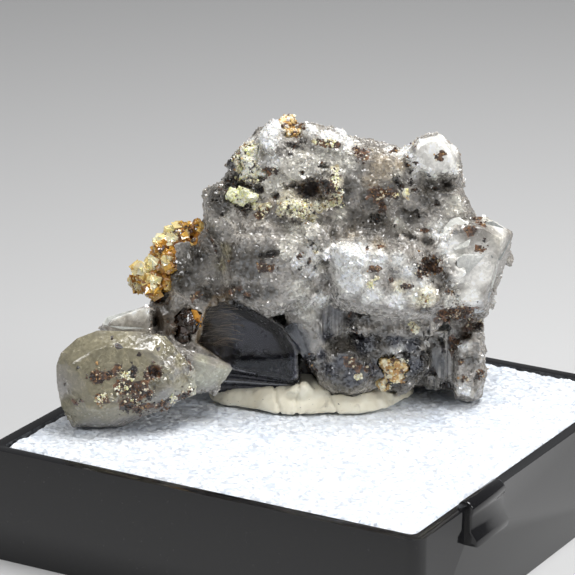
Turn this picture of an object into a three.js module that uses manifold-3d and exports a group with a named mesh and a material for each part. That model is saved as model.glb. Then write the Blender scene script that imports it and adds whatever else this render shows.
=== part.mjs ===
// A cerussite specimen with stolzite, held by putty on the foam pad of a small square display box.
// Millimetres, +Z up. The origin is the middle of the box's underside and +X runs along its front edge.
// The specimen stands across the box: its own group is turned, and within that group +X runs from
// left to right as it is displayed, +Y runs away from the viewer, and Z is 0 on top of the foam.
import * as THREE from "three";
import { ConvexGeometry } from "three/addons/geometries/ConvexGeometry.js";
import { mergeVertices } from "three/addons/utils/BufferGeometryUtils.js";
import Module from "manifold-3d";

const wasm = await Module();
wasm.setup();

// Driving dimensions
const FOAM_SIDE = 28;
const FOAM_TOP = 7.2;
const BOX_WALL = 0.75;
const BOX_FLOOR = 1.2;
const BOX_HEIGHT = 7.1;
const BOX_CORNER_RADIUS = 0.9;
const FIT_GAP = 0.05;
const SPECIMEN_TURN = THREE.MathUtils.degToRad(30);

// The display side: an eye far in front looks slightly down on the specimen. Outlines are drawn on
// the upright picture plane through LOOK_AT, a across and b up, and pushed back along the sight line.
const EYE_DISTANCE = 215.7;
const EYE_ELEVATION = THREE.MathUtils.degToRad(18.44);
const LOOK_AT = new THREE.Vector3(-2.02, 2.47, 7.42);
const EYE_BACK = new THREE.Vector3(0, -Math.cos(EYE_ELEVATION), Math.sin(EYE_ELEVATION));
const PICTURE_UP = new THREE.Vector3(0, Math.sin(EYE_ELEVATION), Math.cos(EYE_ELEVATION));
const EYE = LOOK_AT.clone().addScaledVector(EYE_BACK, EYE_DISTANCE);

// The point seen at (a, b) of the picture plane that lies at depth y.
function seen(a, b, y) {
  const onPlane = LOOK_AT.clone().addScaledVector(PICTURE_UP, b);
  onPlane.x += a;
  const ray = onPlane.sub(EYE);
  return EYE.clone().addScaledVector(ray, (y - EYE.y) / ray.y);
}

// Repeatable random numbers from 0 to 1.
function randomFrom(seed) {
  let state = seed;
  return () => {
    state = (state + 0x6d2b79f5) | 0;
    let t = Math.imul(state ^ (state >>> 15), 1 | state);
    t = (t + Math.imul(t ^ (t >>> 7), 61 | t)) ^ t;
    return ((t ^ (t >>> 14)) >>> 0) / 4294967296;
  };
}

function solidOf(geometry) {
  const bare = geometry.clone();
  for (const name of ["normal", "uv"]) bare.deleteAttribute(name);
  const merged = mergeVertices(bare, 1e-5);
  return new wasm.Manifold(
    new wasm.Mesh({
      numProp: 3,
      vertProperties: merged.getAttribute("position").array,
      triVerts: new Uint32Array(merged.index.array),
    }),
  );
}

const hull = (points) => solidOf(new ConvexGeometry(points));
const joined = (solids) => solids.reduce((whole, next) => whole.add(next));

// A crystal block seen with the given outline. The outline is widest at depth mid, and narrows to a
// front face and a back face. lean and backLean tilt those: mm of depth per mm across and per mm up.
function block({
  outline, front, mid, back, frontScale = 0.75, backScale = 0.75, lean = [0, 0], backLean = [0, 0],
}) {
  const middle = [0, 1].map((i) => outline.reduce((sum, p) => sum + p[i], 0) / outline.length);
  const ring = (depth, scale, tilt) =>
    outline.map(([a, b]) => {
      const da = (a - middle[0]) * scale;
      const db = (b - middle[1]) * scale;
      return seen(middle[0] + da, middle[1] + db, depth + tilt[0] * da + tilt[1] * db);
    });
  return [...ring(front, frontScale, lean), ...ring(mid, 1, [0, 0]), ...ring(back, backScale, backLean)];
}

// The corners of an angular chip: random points on an ellipsoid, so that their hull has flat facets.
function chip(centre, radii, corners, random) {
  const turn = new THREE.Quaternion().setFromEuler(
    new THREE.Euler(random() * Math.PI, random() * Math.PI, random() * Math.PI),
  );
  return Array.from({ length: corners }, () => {
    const z = 2 * random() - 1;
    const angle = 2 * Math.PI * random();
    const r = Math.sqrt(1 - z * z);
    return new THREE.Vector3(r * Math.cos(angle) * radii[0], r * Math.sin(angle) * radii[1], z * radii[2])
      .applyQuaternion(turn)
      .add(centre);
  });
}

// The same corners moved outwards by gap, for the socket that a piece sits in.
function grown(points, gap) {
  const centre = points.reduce((sum, p) => sum.add(p), new THREE.Vector3()).divideScalar(points.length);
  return points.map((p) => p.clone().addScaledVector(p.clone().sub(centre).normalize(), 2 * gap));
}

// Random points on a solid's surface, each with the direction that the surface faces there.
function surfacePoints(solid, count, random, wanted) {
  const { numProp, vertProperties, triVerts } = solid.getMesh();
  const corner = (i) => new THREE.Vector3().fromArray(vertProperties, numProp * triVerts[i]);
  const faces = [];
  let total = 0;
  for (let i = 0; i < triVerts.length; i += 3) {
    const face = new THREE.Triangle(corner(i), corner(i + 1), corner(i + 2));
    total += face.getArea();
    faces.push({ face, upTo: total });
  }
  const found = [];
  while (found.length < count) {
    const pick = random() * total;
    const { face } = faces.find((f) => pick <= f.upTo);
    let [s, t] = [random(), random()];
    if (s + t > 1) [s, t] = [1 - s, 1 - t];
    const point = face.a.clone()
      .addScaledVector(face.b.clone().sub(face.a), s)
      .addScaledVector(face.c.clone().sub(face.a), t);
    if (wanted(point)) found.push({ point, normal: face.getNormal(new THREE.Vector3()) });
  }
  return found;
}

// Cerussite: the main blocks, as seen from the display side. Depths grow away from the viewer.
const CERUSSITE_BLOCKS = {
  upperCore: {
    outline: [[-4.6, 5.4], [-3.2, 8], [-1.1, 9.8], [0.8, 9.9], [3.5, 9.3], [6.9, 8.5], [10.3, 7.5],
      [11.1, 5.1], [11.7, 3.2], [11.2, -0.8], [8.2, -1.9], [2.6, -1.9], [-1.6, -1.9], [-4, -0.3],
      [-5, 2.6]],
    front: 1.4, mid: 4.2, back: 9.6, frontScale: 0.84, backScale: 0.66,
  },
  lowerCore: {
    outline: [[-4, -0.5], [2.6, -1.1], [10.3, -1.4], [10.7, -3.9], [10.4, -6.1], [6.9, -6.4],
      [2.6, -6.4], [-2.9, -6.2], [-4, -3.9]],
    front: 3.4, mid: 5, back: 8.6, frontScale: 0.9, backScale: 0.8,
  },
  leftCrystal: {
    outline: [[-14.3, -4.8], [-14, -4], [-13, -3.1], [-11.7, -2.6], [-9.1, -2.8], [-7.5, -3],
      [-7.1, -3.9], [-5.6, -5.2], [-5.7, -6.6], [-7.8, -7.2], [-8.8, -7.9], [-10.3, -8.3],
      [-11.6, -8.7], [-13.3, -8.6], [-14, -7.3]],
    front: -3.9, mid: -2.4, back: 1.2, frontScale: 0.66, backScale: 0.74, lean: [0.05, 0.14],
    backLean: [0.4, 0],
  },
  leftTip: {
    outline: [[-7.5, -3.5], [-5.9, -3.9], [-4.5, -4.3], [-3.5, -4.7], [-3.35, -5], [-3.8, -5.7],
      [-4.5, -6.3], [-5.6, -6.6], [-6.8, -6]],
    front: -1.7, mid: -0.7, back: 3, frontScale: 0.5, lean: [0.1, 0],
  },
  paleWedge: {
    outline: [[-11.7, -2.5], [-10.8, -1.8], [-9.8, -1.5], [-8.5, -1], [-8.3, -1.9], [-8.2, -3.1],
      [-10.3, -3.5]],
    front: 0.2, mid: 1.2, back: 3.2, frontScale: 0.85,
  },
  leftRoot: {
    outline: [[-8.5, -0.8], [-5.4, -0.2], [-3.9, -0.8], [-3.9, -3.9], [-5.4, -5.4], [-7.5, -3.6],
      [-8.3, -3]],
    front: 1.1, mid: 2.6, back: 7, frontScale: 0.8, lean: [-0.1, 0.05],
  },
  leftFlank: {
    outline: [[-8.2, -0.8], [-7.5, 1.1], [-6.3, 2.3], [-5.1, 3.7], [-3.5, 2.9], [-3.2, -0.2],
      [-4.5, -0.8], [-6, -1.4]],
    front: 1.4, mid: 3, back: 7, frontScale: 0.7, lean: [-0.15, 0.1],
  },
  glassySide: {
    outline: [[-6.2, -3.6], [-5.5, -2.4], [-4.2, -0.4], [-2.9, -0.5], [-1.2, -2.4], [-0.1, -2.5],
      [0.6, -3.9], [0.7, -5.6], [0.3, -5.8], [-3.4, -5.1], [-4.4, -4.3]],
    front: 1.3, mid: 1.6, back: 7.4, frontScale: 0.98, backScale: 0.8, lean: [-0.14, 0.05],
  },
  bluntPrism: {
    outline: [[-0.2, -2.6], [0.5, -2.25], [1.3, -2.8], [1.4, -3.8], [1.9, -4.5], [1.75, -4.8],
      [0.85, -4]],
    front: 0.7, mid: 1.2, back: 3.8, frontScale: 0.85, lean: [0.2, 0],
  },
  greyShoulder: {
    outline: [[-0.2, -1.1], [1.5, -0.7], [1.9, -2], [2.6, -3.5], [2, -6], [1.5, -4], [1.25, -2.6],
      [0.3, -2.2]],
    front: 0.5, mid: 1.3, back: 4.2, frontScale: 0.8,
  },
  ribbedColumn: {
    outline: [[1.6, -0.7], [3.6, -0.6], [3.8, -2.9], [2.6, -3.3], [1.75, -2.9]],
    front: 0.7, mid: 1.5, back: 4, frontScale: 0.85, lean: [0.1, 0],
  },
  lowerBulge: {
    outline: [[1.9, -3.5], [3.7, -3.1], [5.2, -3.9], [5.7, -5.2], [5.2, -6.4], [4, -6.9], [2.6, -6.7],
      [1.9, -6]],
    front: -0.2, mid: 1.2, back: 5, frontScale: 0.6,
  },
  lowerRidge: {
    outline: [[3.8, -3], [5.4, -2.6], [7.9, -2.7], [8.8, -3.5], [8.8, -4.8], [7.5, -6.4], [6, -6.4],
      [4.8, -6]],
    front: 0.7, mid: 1.8, back: 5, frontScale: 0.7,
  },
  ribbedRecess: {
    outline: [[8.5, -2.5], [10.5, -2.5], [10.5, -6.3], [8.5, -6.3]],
    front: 2.3, mid: 3, back: 6, frontScale: 0.9,
  },
  rightLeg: {
    outline: [[10.4, -3.2], [11.2, -2.9], [12.1, -2.6], [12.1, -4.5], [12.2, -5.6], [12, -6.8],
      [11.2, -7.15], [10.3, -6.9], [10.1, -5.7]],
    front: 1, mid: 2.1, back: 4.4, frontScale: 0.7,
  },
  sugarLedge: {
    outline: [[2.6, 2.9], [8.2, 2.9], [9.4, 1.6], [9.7, -0.8], [8.8, -2], [5.7, -1.9], [4.2, -1.5],
      [2.3, -0.8], [1.9, 1.1]],
    front: -1.1, mid: 0.3, back: 5, frontScale: 0.7,
  },
  middleBand: {
    outline: [[-4, 3.5], [0.8, 3.9], [2.6, 2.9], [2.3, -0.8], [0.2, -1.3], [-1.6, -2], [-2.9, -0.5],
      [-4.3, -0.2]],
    front: -0.3, mid: 1.3, back: 6, frontScale: 0.7,
  },
  leftCheek: {
    outline: [[-5.2, 4.5], [-5.15, 5.6], [-4.7, 6.3], [-4, 6.6], [-2.6, 5.4], [-1.6, 4.5], [-2.3, 2.6],
      [-4.5, 2.3], [-5.1, 3.2]],
    front: 1, mid: 2.8, back: 7, frontScale: 0.7,
  },
  sugarCrown: {
    outline: [[-3.9, 7.5], [-2.4, 9.1], [-1.6, 9.6], [-0.3, 10.3], [0.8, 10.1], [1.1, 8.5],
      [-0.5, 6.9], [-2.6, 6.3]],
    front: 2.2, mid: 4, back: 8, frontScale: 0.7, lean: [0, 0.25],
  },
  midCrown: {
    outline: [[0.5, 10.1], [2.1, 9.6], [3.4, 9.7], [4.5, 8.7], [4.8, 6.9], [3.9, 5.1], [1.1, 5.1],
      [0, 7.2]],
    front: 1.5, mid: 3.8, back: 8.4, frontScale: 0.75, lean: [0, 0.2],
  },
  tanLump: {
    outline: [[4, 7.5], [4.6, 8.3], [5.7, 8.3], [6.8, 8.3], [7.4, 7.2], [6.9, 6.1], [5.4, 5.8],
      [4.2, 6.1]],
    front: 1, mid: 2.7, back: 6.5, frontScale: 0.65,
  },
  whiteKnob: {
    outline: [[6.3, 8.1], [7.7, 9], [8.6, 9.5], [9.15, 9.55], [9.8, 9.1], [10.1, 8.6], [10.65, 8.1],
      [10.75, 6.6], [10.1, 6], [9, 6.6], [7.4, 7.1]],
    front: 0.9, mid: 3.4, back: 7.4, frontScale: 0.6,
  },
  greyNeck: {
    outline: [[5.6, 5.7], [8.2, 6.3], [10.75, 6.25], [11.2, 5.1], [11.7, 4.3], [10.3, 3.2], [8.5, 2.6],
      [6, 2.9]],
    front: 0.7, mid: 2.5, back: 8, frontScale: 0.75,
  },
  rightBlock: {
    outline: [[9.6, 3.9], [10.1, 4.3], [11, 4.1], [11.7, 4.4], [12.2, 4.4], [13.1, 3.8], [13.9, 3.45],
      [13.7, 2.1], [13.15, 1.4], [12.9, 0.2], [12.3, -1.8], [11.2, -2.1], [10.4, -1.9], [9.9, -0.2],
      [9.4, 1.6], [8.4, 2.7]],
    front: -0.5, mid: 1.6, back: 6.4, frontScale: 0.72, lean: [0.1, 0.05],
  },
  sugarCrest: {
    outline: [[-1.9, 8.3], [-1.9, 9.3], [-1.3, 10], [-0.6, 10.3], [-0.3, 9.6], [-0.2, 8.5],
      [-0.7, 7.5], [-1.5, 7.9]],
    front: 1.1, mid: 3, back: 6.5, frontScale: 0.55, lean: [0, 0.3],
  },
  crownRidge: {
    outline: [[0.8, 10.2], [2.1, 9.6], [3.4, 9.6], [4.3, 8.8], [3.9, 7.9], [2.6, 8.3], [1.3, 8.3],
      [0.6, 9.1]],
    front: 1.2, mid: 3.2, back: 7, frontScale: 0.55, lean: [0, 0.3],
  },
  crownFace: {
    outline: [[-0.1, 8.5], [1.4, 8.5], [2.7, 8], [2.6, 6.9], [1.5, 6.5], [0.2, 6.4], [-1, 7.1],
      [-1, 7.9]],
    front: 0.9, mid: 2.2, back: 5, frontScale: 0.7, lean: [0.05, 0.15],
  },
  cavityRim: {
    outline: [[2.6, 7.9], [3.2, 7.5], [3.5, 6.3], [3.1, 5], [2.4, 4.8], [2.2, 5.5], [2.6, 6.5]],
    front: 0.6, mid: 1.6, back: 4, frontScale: 0.5,
  },
  creamLump: {
    outline: [[-0.7, 5.3], [0.2, 5.6], [1.3, 5.4], [1.8, 4.6], [1.1, 3.9], [-0.2, 4], [-0.8, 4.7]],
    front: 0.2, mid: 1.4, back: 4, frontScale: 0.55,
  },
  cheekBlade: {
    outline: [[-3.2, 4], [-1.6, 4.5], [0, 4], [0.8, 3], [-0.2, 2.2], [-2.2, 2.3], [-3.2, 2.9]],
    front: 0.3, mid: 1.4, back: 4, frontScale: 0.5, lean: [0.1, 0.1],
  },
  cheekRidge: {
    outline: [[-5.1, 4.5], [-4, 5], [-2.9, 4.4], [-2.6, 2.9], [-3.2, 1.6], [-4.4, 2.3], [-5, 3.3]],
    front: 0.7, mid: 1.9, back: 5, frontScale: 0.5, lean: [-0.2, 0],
  },
  waistRidge: {
    outline: [[0.8, 3.9], [2.6, 4], [3.4, 2.9], [3, 1.6], [1.5, 1.1], [0.5, 2.3]],
    front: -0.4, mid: 0.9, back: 3, frontScale: 0.5,
  },
  neckBlock: {
    outline: [[6.6, 6.1], [8.4, 6.4], [9.4, 5.6], [9.1, 4.5], [7.7, 4], [6.6, 4.7]],
    front: 0.3, mid: 1.3, back: 4, frontScale: 0.6,
  },
  knobSide: {
    outline: [[9.3, 8], [10.1, 8.6], [10.6, 8], [10.8, 6.5], [10.3, 5.6], [9.4, 6]],
    front: 1.4, mid: 3, back: 6, frontScale: 0.6, lean: [-0.2, 0],
  },
  ledgeLeft: {
    outline: [[2.3, 2.6], [3.9, 2.9], [5.2, 2.4], [5.5, 1], [4.3, -0.2], [2.9, 0.2]],
    front: -1.4, mid: -0.4, back: 3, frontScale: 0.5,
  },
  ledgeRight: {
    outline: [[6, 2.6], [7.4, 2.9], [8.2, 1.9], [7.8, 0.3], [6.4, 0], [5.7, 1.2]],
    front: -1.4, mid: -0.4, back: 3, frontScale: 0.5,
  },
  ledgeLump: {
    outline: [[7.8, 0], [8.7, 0.3], [9.6, -0.2], [9.6, -1], [8.8, -1.5], [7.8, -1.1]],
    front: -1.4, mid: -0.4, back: 3, frontScale: 0.5,
  },
  ledgeFoot: {
    outline: [[3.5, -0.2], [5.4, 0.1], [7.1, -0.4], [7.5, -1.6], [5.7, -2.1], [3.9, -1.5]],
    front: -1, mid: 0.3, back: 3, frontScale: 0.5,
  },
  ledgeBridge: {
    outline: [[8.5, 2.6], [9.8, 3.1], [10.6, 1.2], [10.6, -1.6], [9.2, -1.7], [9, 0.4]],
    front: -0.7, mid: 0.4, back: 4, frontScale: 0.75,
  },
  ledgeRoot: {
    outline: [[3.6, -1], [9.6, -1], [9.6, -2.2], [8.6, -3.3], [5, -3.2], [3.6, -2.6]],
    front: 0.3, mid: 1, back: 4.5, frontScale: 0.95, lean: [0, -0.35],
  },
  legRoot: {
    outline: [[9.8, -1], [12.1, -1.2], [12.1, -2.6], [12, -4.2], [10.2, -4]],
    front: 2.2, mid: 2.6, back: 5.4, frontScale: 0.95,
  },
  clearBack: {
    outline: [[0.3, -4.2], [2.1, -4.2], [2.3, -6.4], [0.3, -6.4]],
    front: 2.5, mid: 3, back: 6, frontScale: 0.95,
  },
  knobFace: {
    outline: [[7.5, 8.5], [8.3, 9.2], [9.2, 9.4], [10, 8.9], [10.5, 8.1], [10.4, 6.9], [9.2, 6.6],
      [7.9, 7.2]],
    front: 0.5, mid: 1.6, back: 5, frontScale: 0.75,
  },
  backSlab: {
    outline: [[-3.4, 6.2], [-1, 8.6], [2.6, 8.4], [4.3, 6.4], [3.4, 2], [-1.6, 1]],
    front: 6, mid: 9.2, back: 10.8, backScale: 0.6,
  },
  backBlock: {
    outline: [[3.6, 6.8], [6.4, 7.4], [9.2, 6.2], [10.2, 2.6], [6.6, -0.2], [3.2, 1.8]],
    front: 6, mid: 8.4, back: 10.2, backScale: 0.7,
  },
  backFoot: {
    outline: [[-4.2, 0.8], [2, 1.6], [3.2, -2.8], [0.8, -5.2], [-3.4, -4.6]],
    front: 5, mid: 8, back: 9.9, backScale: 0.6,
  },
  backHeel: {
    outline: [[2.8, 0.2], [7.4, 0.6], [9.4, -2.6], [8.2, -5.4], [3.8, -5.8]],
    front: 5, mid: 7.8, back: 9.3, backScale: 0.7,
  },
};
// The foot of the clear crystal: a ribbed face that runs back under it.
const GLASSY_FOOT = [[-4.7, -6.4, 2.6], [-3.6, -6.7, 2.7], [-1.4, -6.4, 2.5], [0.8, -5.9, 2.2],
  [-3.4, -5.1, 1.7], [0.3, -5.8, 1.2], [-3.6, -6, 6], [0, -5.8, 6]];

// Blocks with rough faces: extra corners stand a little proud of the faces, so no face stays flat.
const SMOOTH_BLOCKS = ["glassySide", "clearBack", "bluntPrism", "ribbedColumn", "ribbedRecess", "leftTip",
  "paleWedge", "rightBlock", "ledgeBridge", "ledgeRoot", "legRoot", "lowerCore"];
const FACET_AREA = 4.6;
const FACET_RISE = 0.42;
const FACET_SEED = 5;

function roughened(points, random) {
  const solid = hull(points);
  const count = Math.round(solid.surfaceArea() / FACET_AREA);
  const raised = surfacePoints(solid, count, random, () => true)
    .map(({ point, normal }) => point.addScaledVector(normal, FACET_RISE * random()));
  return [...points, ...raised];
}

const facetRandom = randomFrom(FACET_SEED);
const blockPoints = Object.entries(CERUSSITE_BLOCKS).map(([name, spec]) =>
  SMOOTH_BLOCKS.includes(name) ? block(spec) : roughened(block(spec), facetRandom));
blockPoints.push(GLASSY_FOOT.map(([a, b, y]) => seen(a, b, y)));

// Broken crystal chips that roughen the joined blocks, each mostly sunk in the surface.
const CHIP_COUNT = 20;
const CHIP_SEED = 11;
const CHIP_CORNERS = 12;
const CHIP_SIZE = [0.8, 1.5];
const CHIP_STANDS = 0.5;
const BACK_DEPTH = 6;
const BACK_CHIP_SCALE = 1.4;
const FOOT_BARE = 0.7;
// Smooth crystal faces, where no chip sits: [a, b, depth, radius].
const SMOOTH_PLACES = {
  clearCrystal: [-2.9, -3, 1.6, 2.9],
  clearCrystalTop: [-4.6, -2, 1.6, 1.6],
  clearFoot: [-2, -5.8, 2, 2.4],
  bluntPrism: [0.9, -3.2, 1, 1.5],
  ribbedColumn: [2.7, -1.9, 0.9, 1.4],
  greyShoulder: [1.6, -3, 0.8, 1.3],
  leftTip: [-5.2, -5.2, -1, 2.4],
  leftEnd: [-13.4, -5.6, -2.6, 1.8],
  paleWedge: [-10, -2.2, 1.2, 2.2],
  rightFace: [11.9, 0.7, 0, 1.7],
  rightSide: [13.4, 2.4, 2, 1.4],
  rightEdge: [12.6, -0.8, 3, 2],
  crownEdge: [2.2, 9.6, 4, 2],
  recess: [9.5, -4.4, 2.4, 1.9],
};

// Hollows broken or dissolved out of the cerussite: [a, b, depth, radius].
const PITS = {
  crownHollow: [[1.3, 6.1, 1.1, 0.75], [2, 5.9, 1.1, 0.85], [2.6, 6, 1.3, 0.6]],
  blackHollow: [[-3.3, 6.4, 1.8, 0.75], [-2.6, 6.2, 1.4, 0.8], [-1.9, 6.4, 1.3, 0.6]],
  columnHole: [[3.9, -2, 0.9, 0.55], [4.4, -2.8, 0.9, 0.6]],
  lowSlit: [[5.9, -4.35, 0.6, 0.4], [6.5, -4.2, 0.5, 0.4], [7.1, -4.1, 0.6, 0.4]],
  legGap: [[11.1, -2.5, 1, 0.45], [11.8, -2.2, 1.4, 0.5]],
  ledgeHole: [[8.6, 1.3, -1, 0.6], [9.1, 0.9, -0.9, 0.5]],
  neckSeam: [[5.5, 5.5, 0.8, 0.45], [5.8, 4.9, 0.8, 0.4], [6.4, 5.9, 0.8, 0.4], [7.2, 6.1, 0.8, 0.4]],
};
const PIT_SEED = 70;
const PIT_CORNERS = 8;

function chipsOn(solid) {
  const random = randomFrom(CHIP_SEED);
  const smooth = Object.values(SMOOTH_PLACES)
    .map(([a, b, y, radius]) => new THREE.Sphere(seen(a, b, y), radius));
  const rough = (point) => point.z > FOOT_BARE && !smooth.some((place) => place.containsPoint(point));
  return surfacePoints(solid, CHIP_COUNT, random, rough).map(({ point, normal }) => {
    const scale = point.y > BACK_DEPTH ? BACK_CHIP_SCALE : 1;
    const radius = scale * (CHIP_SIZE[0] + (CHIP_SIZE[1] - CHIP_SIZE[0]) * random() ** 2);
    const flatness = 0.55 + 0.55 * random();
    const centre = point.addScaledVector(normal, CHIP_STANDS - radius);
    return chip(centre, [radius, radius * 0.9, radius * flatness], CHIP_CORNERS, random);
  });
}

// Where another mineral sits: groups of chips at places seen from the display side.
// Each place is [a, b, depth, radius].
const INCLUSIONS = {
  stolzite_cluster: {
    seed: 41, corners: 12, squash: [1, 0.9, 1.1], colour: 0xb8862c, roughness: 0.3,
    places: [[-9.3, -0.1, 2.4, 0.6], [-8.9, 0.9, 2.5, 0.85], [-8.3, 0.1, 2.2, 0.95], [-7.5, 0.4, 2.4, 0.85],
      [-8.1, 1.4, 2.6, 0.8], [-7.7, 2.4, 2.8, 0.8], [-7, 1.6, 2.2, 0.9], [-7.3, 3.2, 3, 0.7],
      [-6.5, 2.6, 2.6, 0.95], [-6.3, 3.5, 3.2, 0.75], [-5.6, 3.5, 3, 0.65], [-5.5, 2.8, 2.4, 0.6],
      [-8, -0.6, 2.4, 0.5], [-9, 0.3, 3.4, 0.8], [-7.6, 1.8, 4.2, 1.1], [-6.3, 2.8, 4.4, 1],
      [-8.3, 0.5, 4, 0.9]],
  },
  amber_stolzite_crystal: {
    seed: 42, corners: 16, squash: [0.9, 0.9, 1.3], colour: 0x6b3d12, roughness: 0.15,
    places: [[-6.2, -2, 1.2, 0.95], [-6.5, -2.9, 1.3, 0.7]],
  },
  stolzite_crust_low: {
    seed: 43, corners: 15, squash: [1, 0.7, 1], colour: 0xb7882f, roughness: 0.5,
    places: [[6.2, -4.8, 0.8, 0.75], [6.9, -4.7, 0.9, 0.75], [6.5, -5.4, 0.8, 0.7], [7, -5.4, 1, 0.6],
      [5.9, -5.9, 0.9, 0.6]],
  },
  stolzite_crust_top: {
    seed: 44, corners: 15, squash: [1, 0.8, 1], colour: 0xa9823c, roughness: 0.5,
    places: [[0, 9.9, 3.3, 0.75], [0.4, 9.3, 2.8, 0.75], [0.1, 10, 4, 0.8]],
  },
  pyromorphite_tuft_high: {
    seed: 45, corners: 15, squash: [1, 0.8, 1], colour: 0xc8c48a, roughness: 0.6,
    places: [[-2.3, 8.1, 2.3, 0.85], [-2, 7.5, 2, 0.85], [-2.6, 7.2, 2, 0.75], [-1.5, 7.2, 1.9, 0.75]],
  },
  pyromorphite_tuft_low: {
    seed: 46, corners: 15, squash: [1, 0.8, 1], colour: 0xb9c07a, roughness: 0.6,
    places: [[-3.4, 5.7, 1.2, 0.6], [-2.8, 5.6, 1, 0.7], [-2.2, 5.5, 1, 0.6]],
  },
};

const inclusionPoints = Object.fromEntries(
  Object.entries(INCLUSIONS).map(([name, { places, seed, corners, squash }]) => {
    const random = randomFrom(seed);
    const chips = places.map(([a, b, y, radius]) =>
      chip(seen(a, b, y), squash.map((share) => share * radius), corners, random));
    return [name, chips];
  }),
);

// The foam's top is a plane at Z 0 in the specimen's group, so what rests on it is cut off flat.
function slab(low, high) {
  const size = new THREE.Vector3().subVectors(high, low);
  const geometry = new THREE.BoxGeometry(size.x, size.y, size.z);
  geometry.translate(...new THREE.Vector3().addVectors(low, high).divideScalar(2).toArray());
  return geometry;
}
const UNDER_FOAM_TOP = solidOf(slab(new THREE.Vector3(-30, -30, -20), new THREE.Vector3(30, 30, FIT_GAP)));

const pitRandom = randomFrom(PIT_SEED);
const pits = Object.values(PITS).flat().map(([a, b, y, radius]) =>
  hull(chip(seen(a, b, y), [radius, radius, radius], PIT_CORNERS, pitRandom)));
const sockets = Object.values(inclusionPoints).flat().map((points) => hull(grown(points, FIT_GAP)));
const blocks = joined(blockPoints.map(hull));
const cerussite = blocks
  .add(joined(chipsOn(blocks).map(hull)))
  .subtract(joined(pits))
  .subtract(joined(sockets))
  .subtract(UNDER_FOAM_TOP);

// Each inclusion gives way to those listed before it, so that no two share any space.
const inclusions = {};
const taken = [];
for (const [name, chipList] of Object.entries(inclusionPoints)) {
  let solid = joined(chipList.map(hull)).subtract(UNDER_FOAM_TOP);
  for (const other of taken) solid = solid.subtract(other);
  inclusions[name] = solid;
  taken.push(joined(chipList.map((points) => hull(grown(points, FIT_GAP)))));
}

// Putty: a pressed, lobed lump under the cerussite, which dents its top.
const PUTTY_CENTRE = new THREE.Vector3(-0.5, 4.1, 0.1);
const PUTTY_RADII = new THREE.Vector3(6.3, 4.5, 1.9);
const PUTTY_LOBES = [
  { count: 7, height: 0.05, phase: 0.4 },
  { count: 3, height: 0.04, phase: 2 },
];
function puttyLump() {
  const geometry = new THREE.SphereGeometry(1, 32, 10);
  geometry.rotateX(Math.PI / 2);
  const position = geometry.getAttribute("position");
  const point = new THREE.Vector3();
  for (let i = 0; i < position.count; i++) {
    point.fromBufferAttribute(position, i);
    const angle = Math.atan2(point.y, point.x);
    const swell = PUTTY_LOBES.reduce(
      (sum, lobe) => sum + lobe.height * Math.cos(lobe.count * angle + lobe.phase), 1);
    const flat = Math.hypot(point.x, point.y) > 1e-6 ? swell : 1;
    point.multiply(PUTTY_RADII).multiply(new THREE.Vector3(flat, flat, 1)).add(PUTTY_CENTRE);
    position.setXYZ(i, point.x, point.y, point.z);
  }
  return solidOf(geometry);
}
// The ridge squeezed up between the clear crystal and the bulge beside it.
const PUTTY_PINCH = hull(block({
  outline: [[-0.4, -6.5], [0.7, -5.8], [1.2, -5.75], [1.6, -6.3], [1, -7]],
  front: -0.1, mid: 0.6, back: 2, frontScale: 0.6,
}));
const GAP_WAYS = [[0, 0, -1], [0, -1, 0], [-1, 0, 0], [1, 0, 0]];
let putty = puttyLump().add(PUTTY_PINCH).subtract(UNDER_FOAM_TOP).subtract(cerussite);
for (const way of GAP_WAYS) putty = putty.subtract(cerussite.translate(way.map((d) => d * FIT_GAP)));

// The largest separate body of a solid, without the crumbs that a cut leaves.
function mainBody(solid) {
  return solid.decompose().reduce((best, next) => (next.volume() > best.volume() ? next : best));
}

function meshOf(name, solid, colour, roughness, metalness = 0) {
  const { numProp, vertProperties, triVerts } = mainBody(solid).getMesh();
  const count = vertProperties.length / numProp;
  const position = new Float32Array(3 * count);
  for (let i = 0; i < count; i++) position.set(vertProperties.subarray(i * numProp, i * numProp + 3), 3 * i);
  const geometry = new THREE.BufferGeometry();
  geometry.setAttribute("position", new THREE.BufferAttribute(position, 3));
  geometry.setIndex(new THREE.BufferAttribute(new Uint32Array(triVerts), 1));
  geometry.computeVertexNormals();
  const material = new THREE.MeshStandardMaterial({ color: colour, roughness, metalness });
  const mesh = new THREE.Mesh(geometry, material);
  mesh.name = name;
  return mesh;
}

// Box: a shallow square tray with rounded corners, a catch on its right wall, and the foam inside.
function roundedSquare(side, radius, height) {
  const h = side / 2;
  const shape = new THREE.Shape();
  shape.moveTo(h - radius, -h);
  shape.absarc(h - radius, radius - h, radius, -Math.PI / 2, 0);
  shape.absarc(h - radius, h - radius, radius, 0, Math.PI / 2);
  shape.absarc(radius - h, h - radius, radius, Math.PI / 2, Math.PI);
  shape.absarc(radius - h, radius - h, radius, Math.PI, 1.5 * Math.PI);
  shape.closePath();
  return new THREE.ExtrudeGeometry(shape, { depth: height, bevelEnabled: false, curveSegments: 4 });
}

const BOX_INNER = FOAM_SIDE + 2 * FIT_GAP;
const BOX_SIDE = BOX_INNER + 2 * BOX_WALL;
// The catch on the right wall: [outwards from the wall's face, height above the rim] along its outline.
const CATCH_ALONG = -7.2;
const CATCH_WIDTH = 4.2;
const CATCH_LIP_RADIUS = 0.42;
const CATCH_DEPTH = 2.2;
const CATCH_THICKNESS = 0.45;
const CATCH_FOOT = 0.8;
const CATCH_BEVEL = 0.12;

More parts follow.
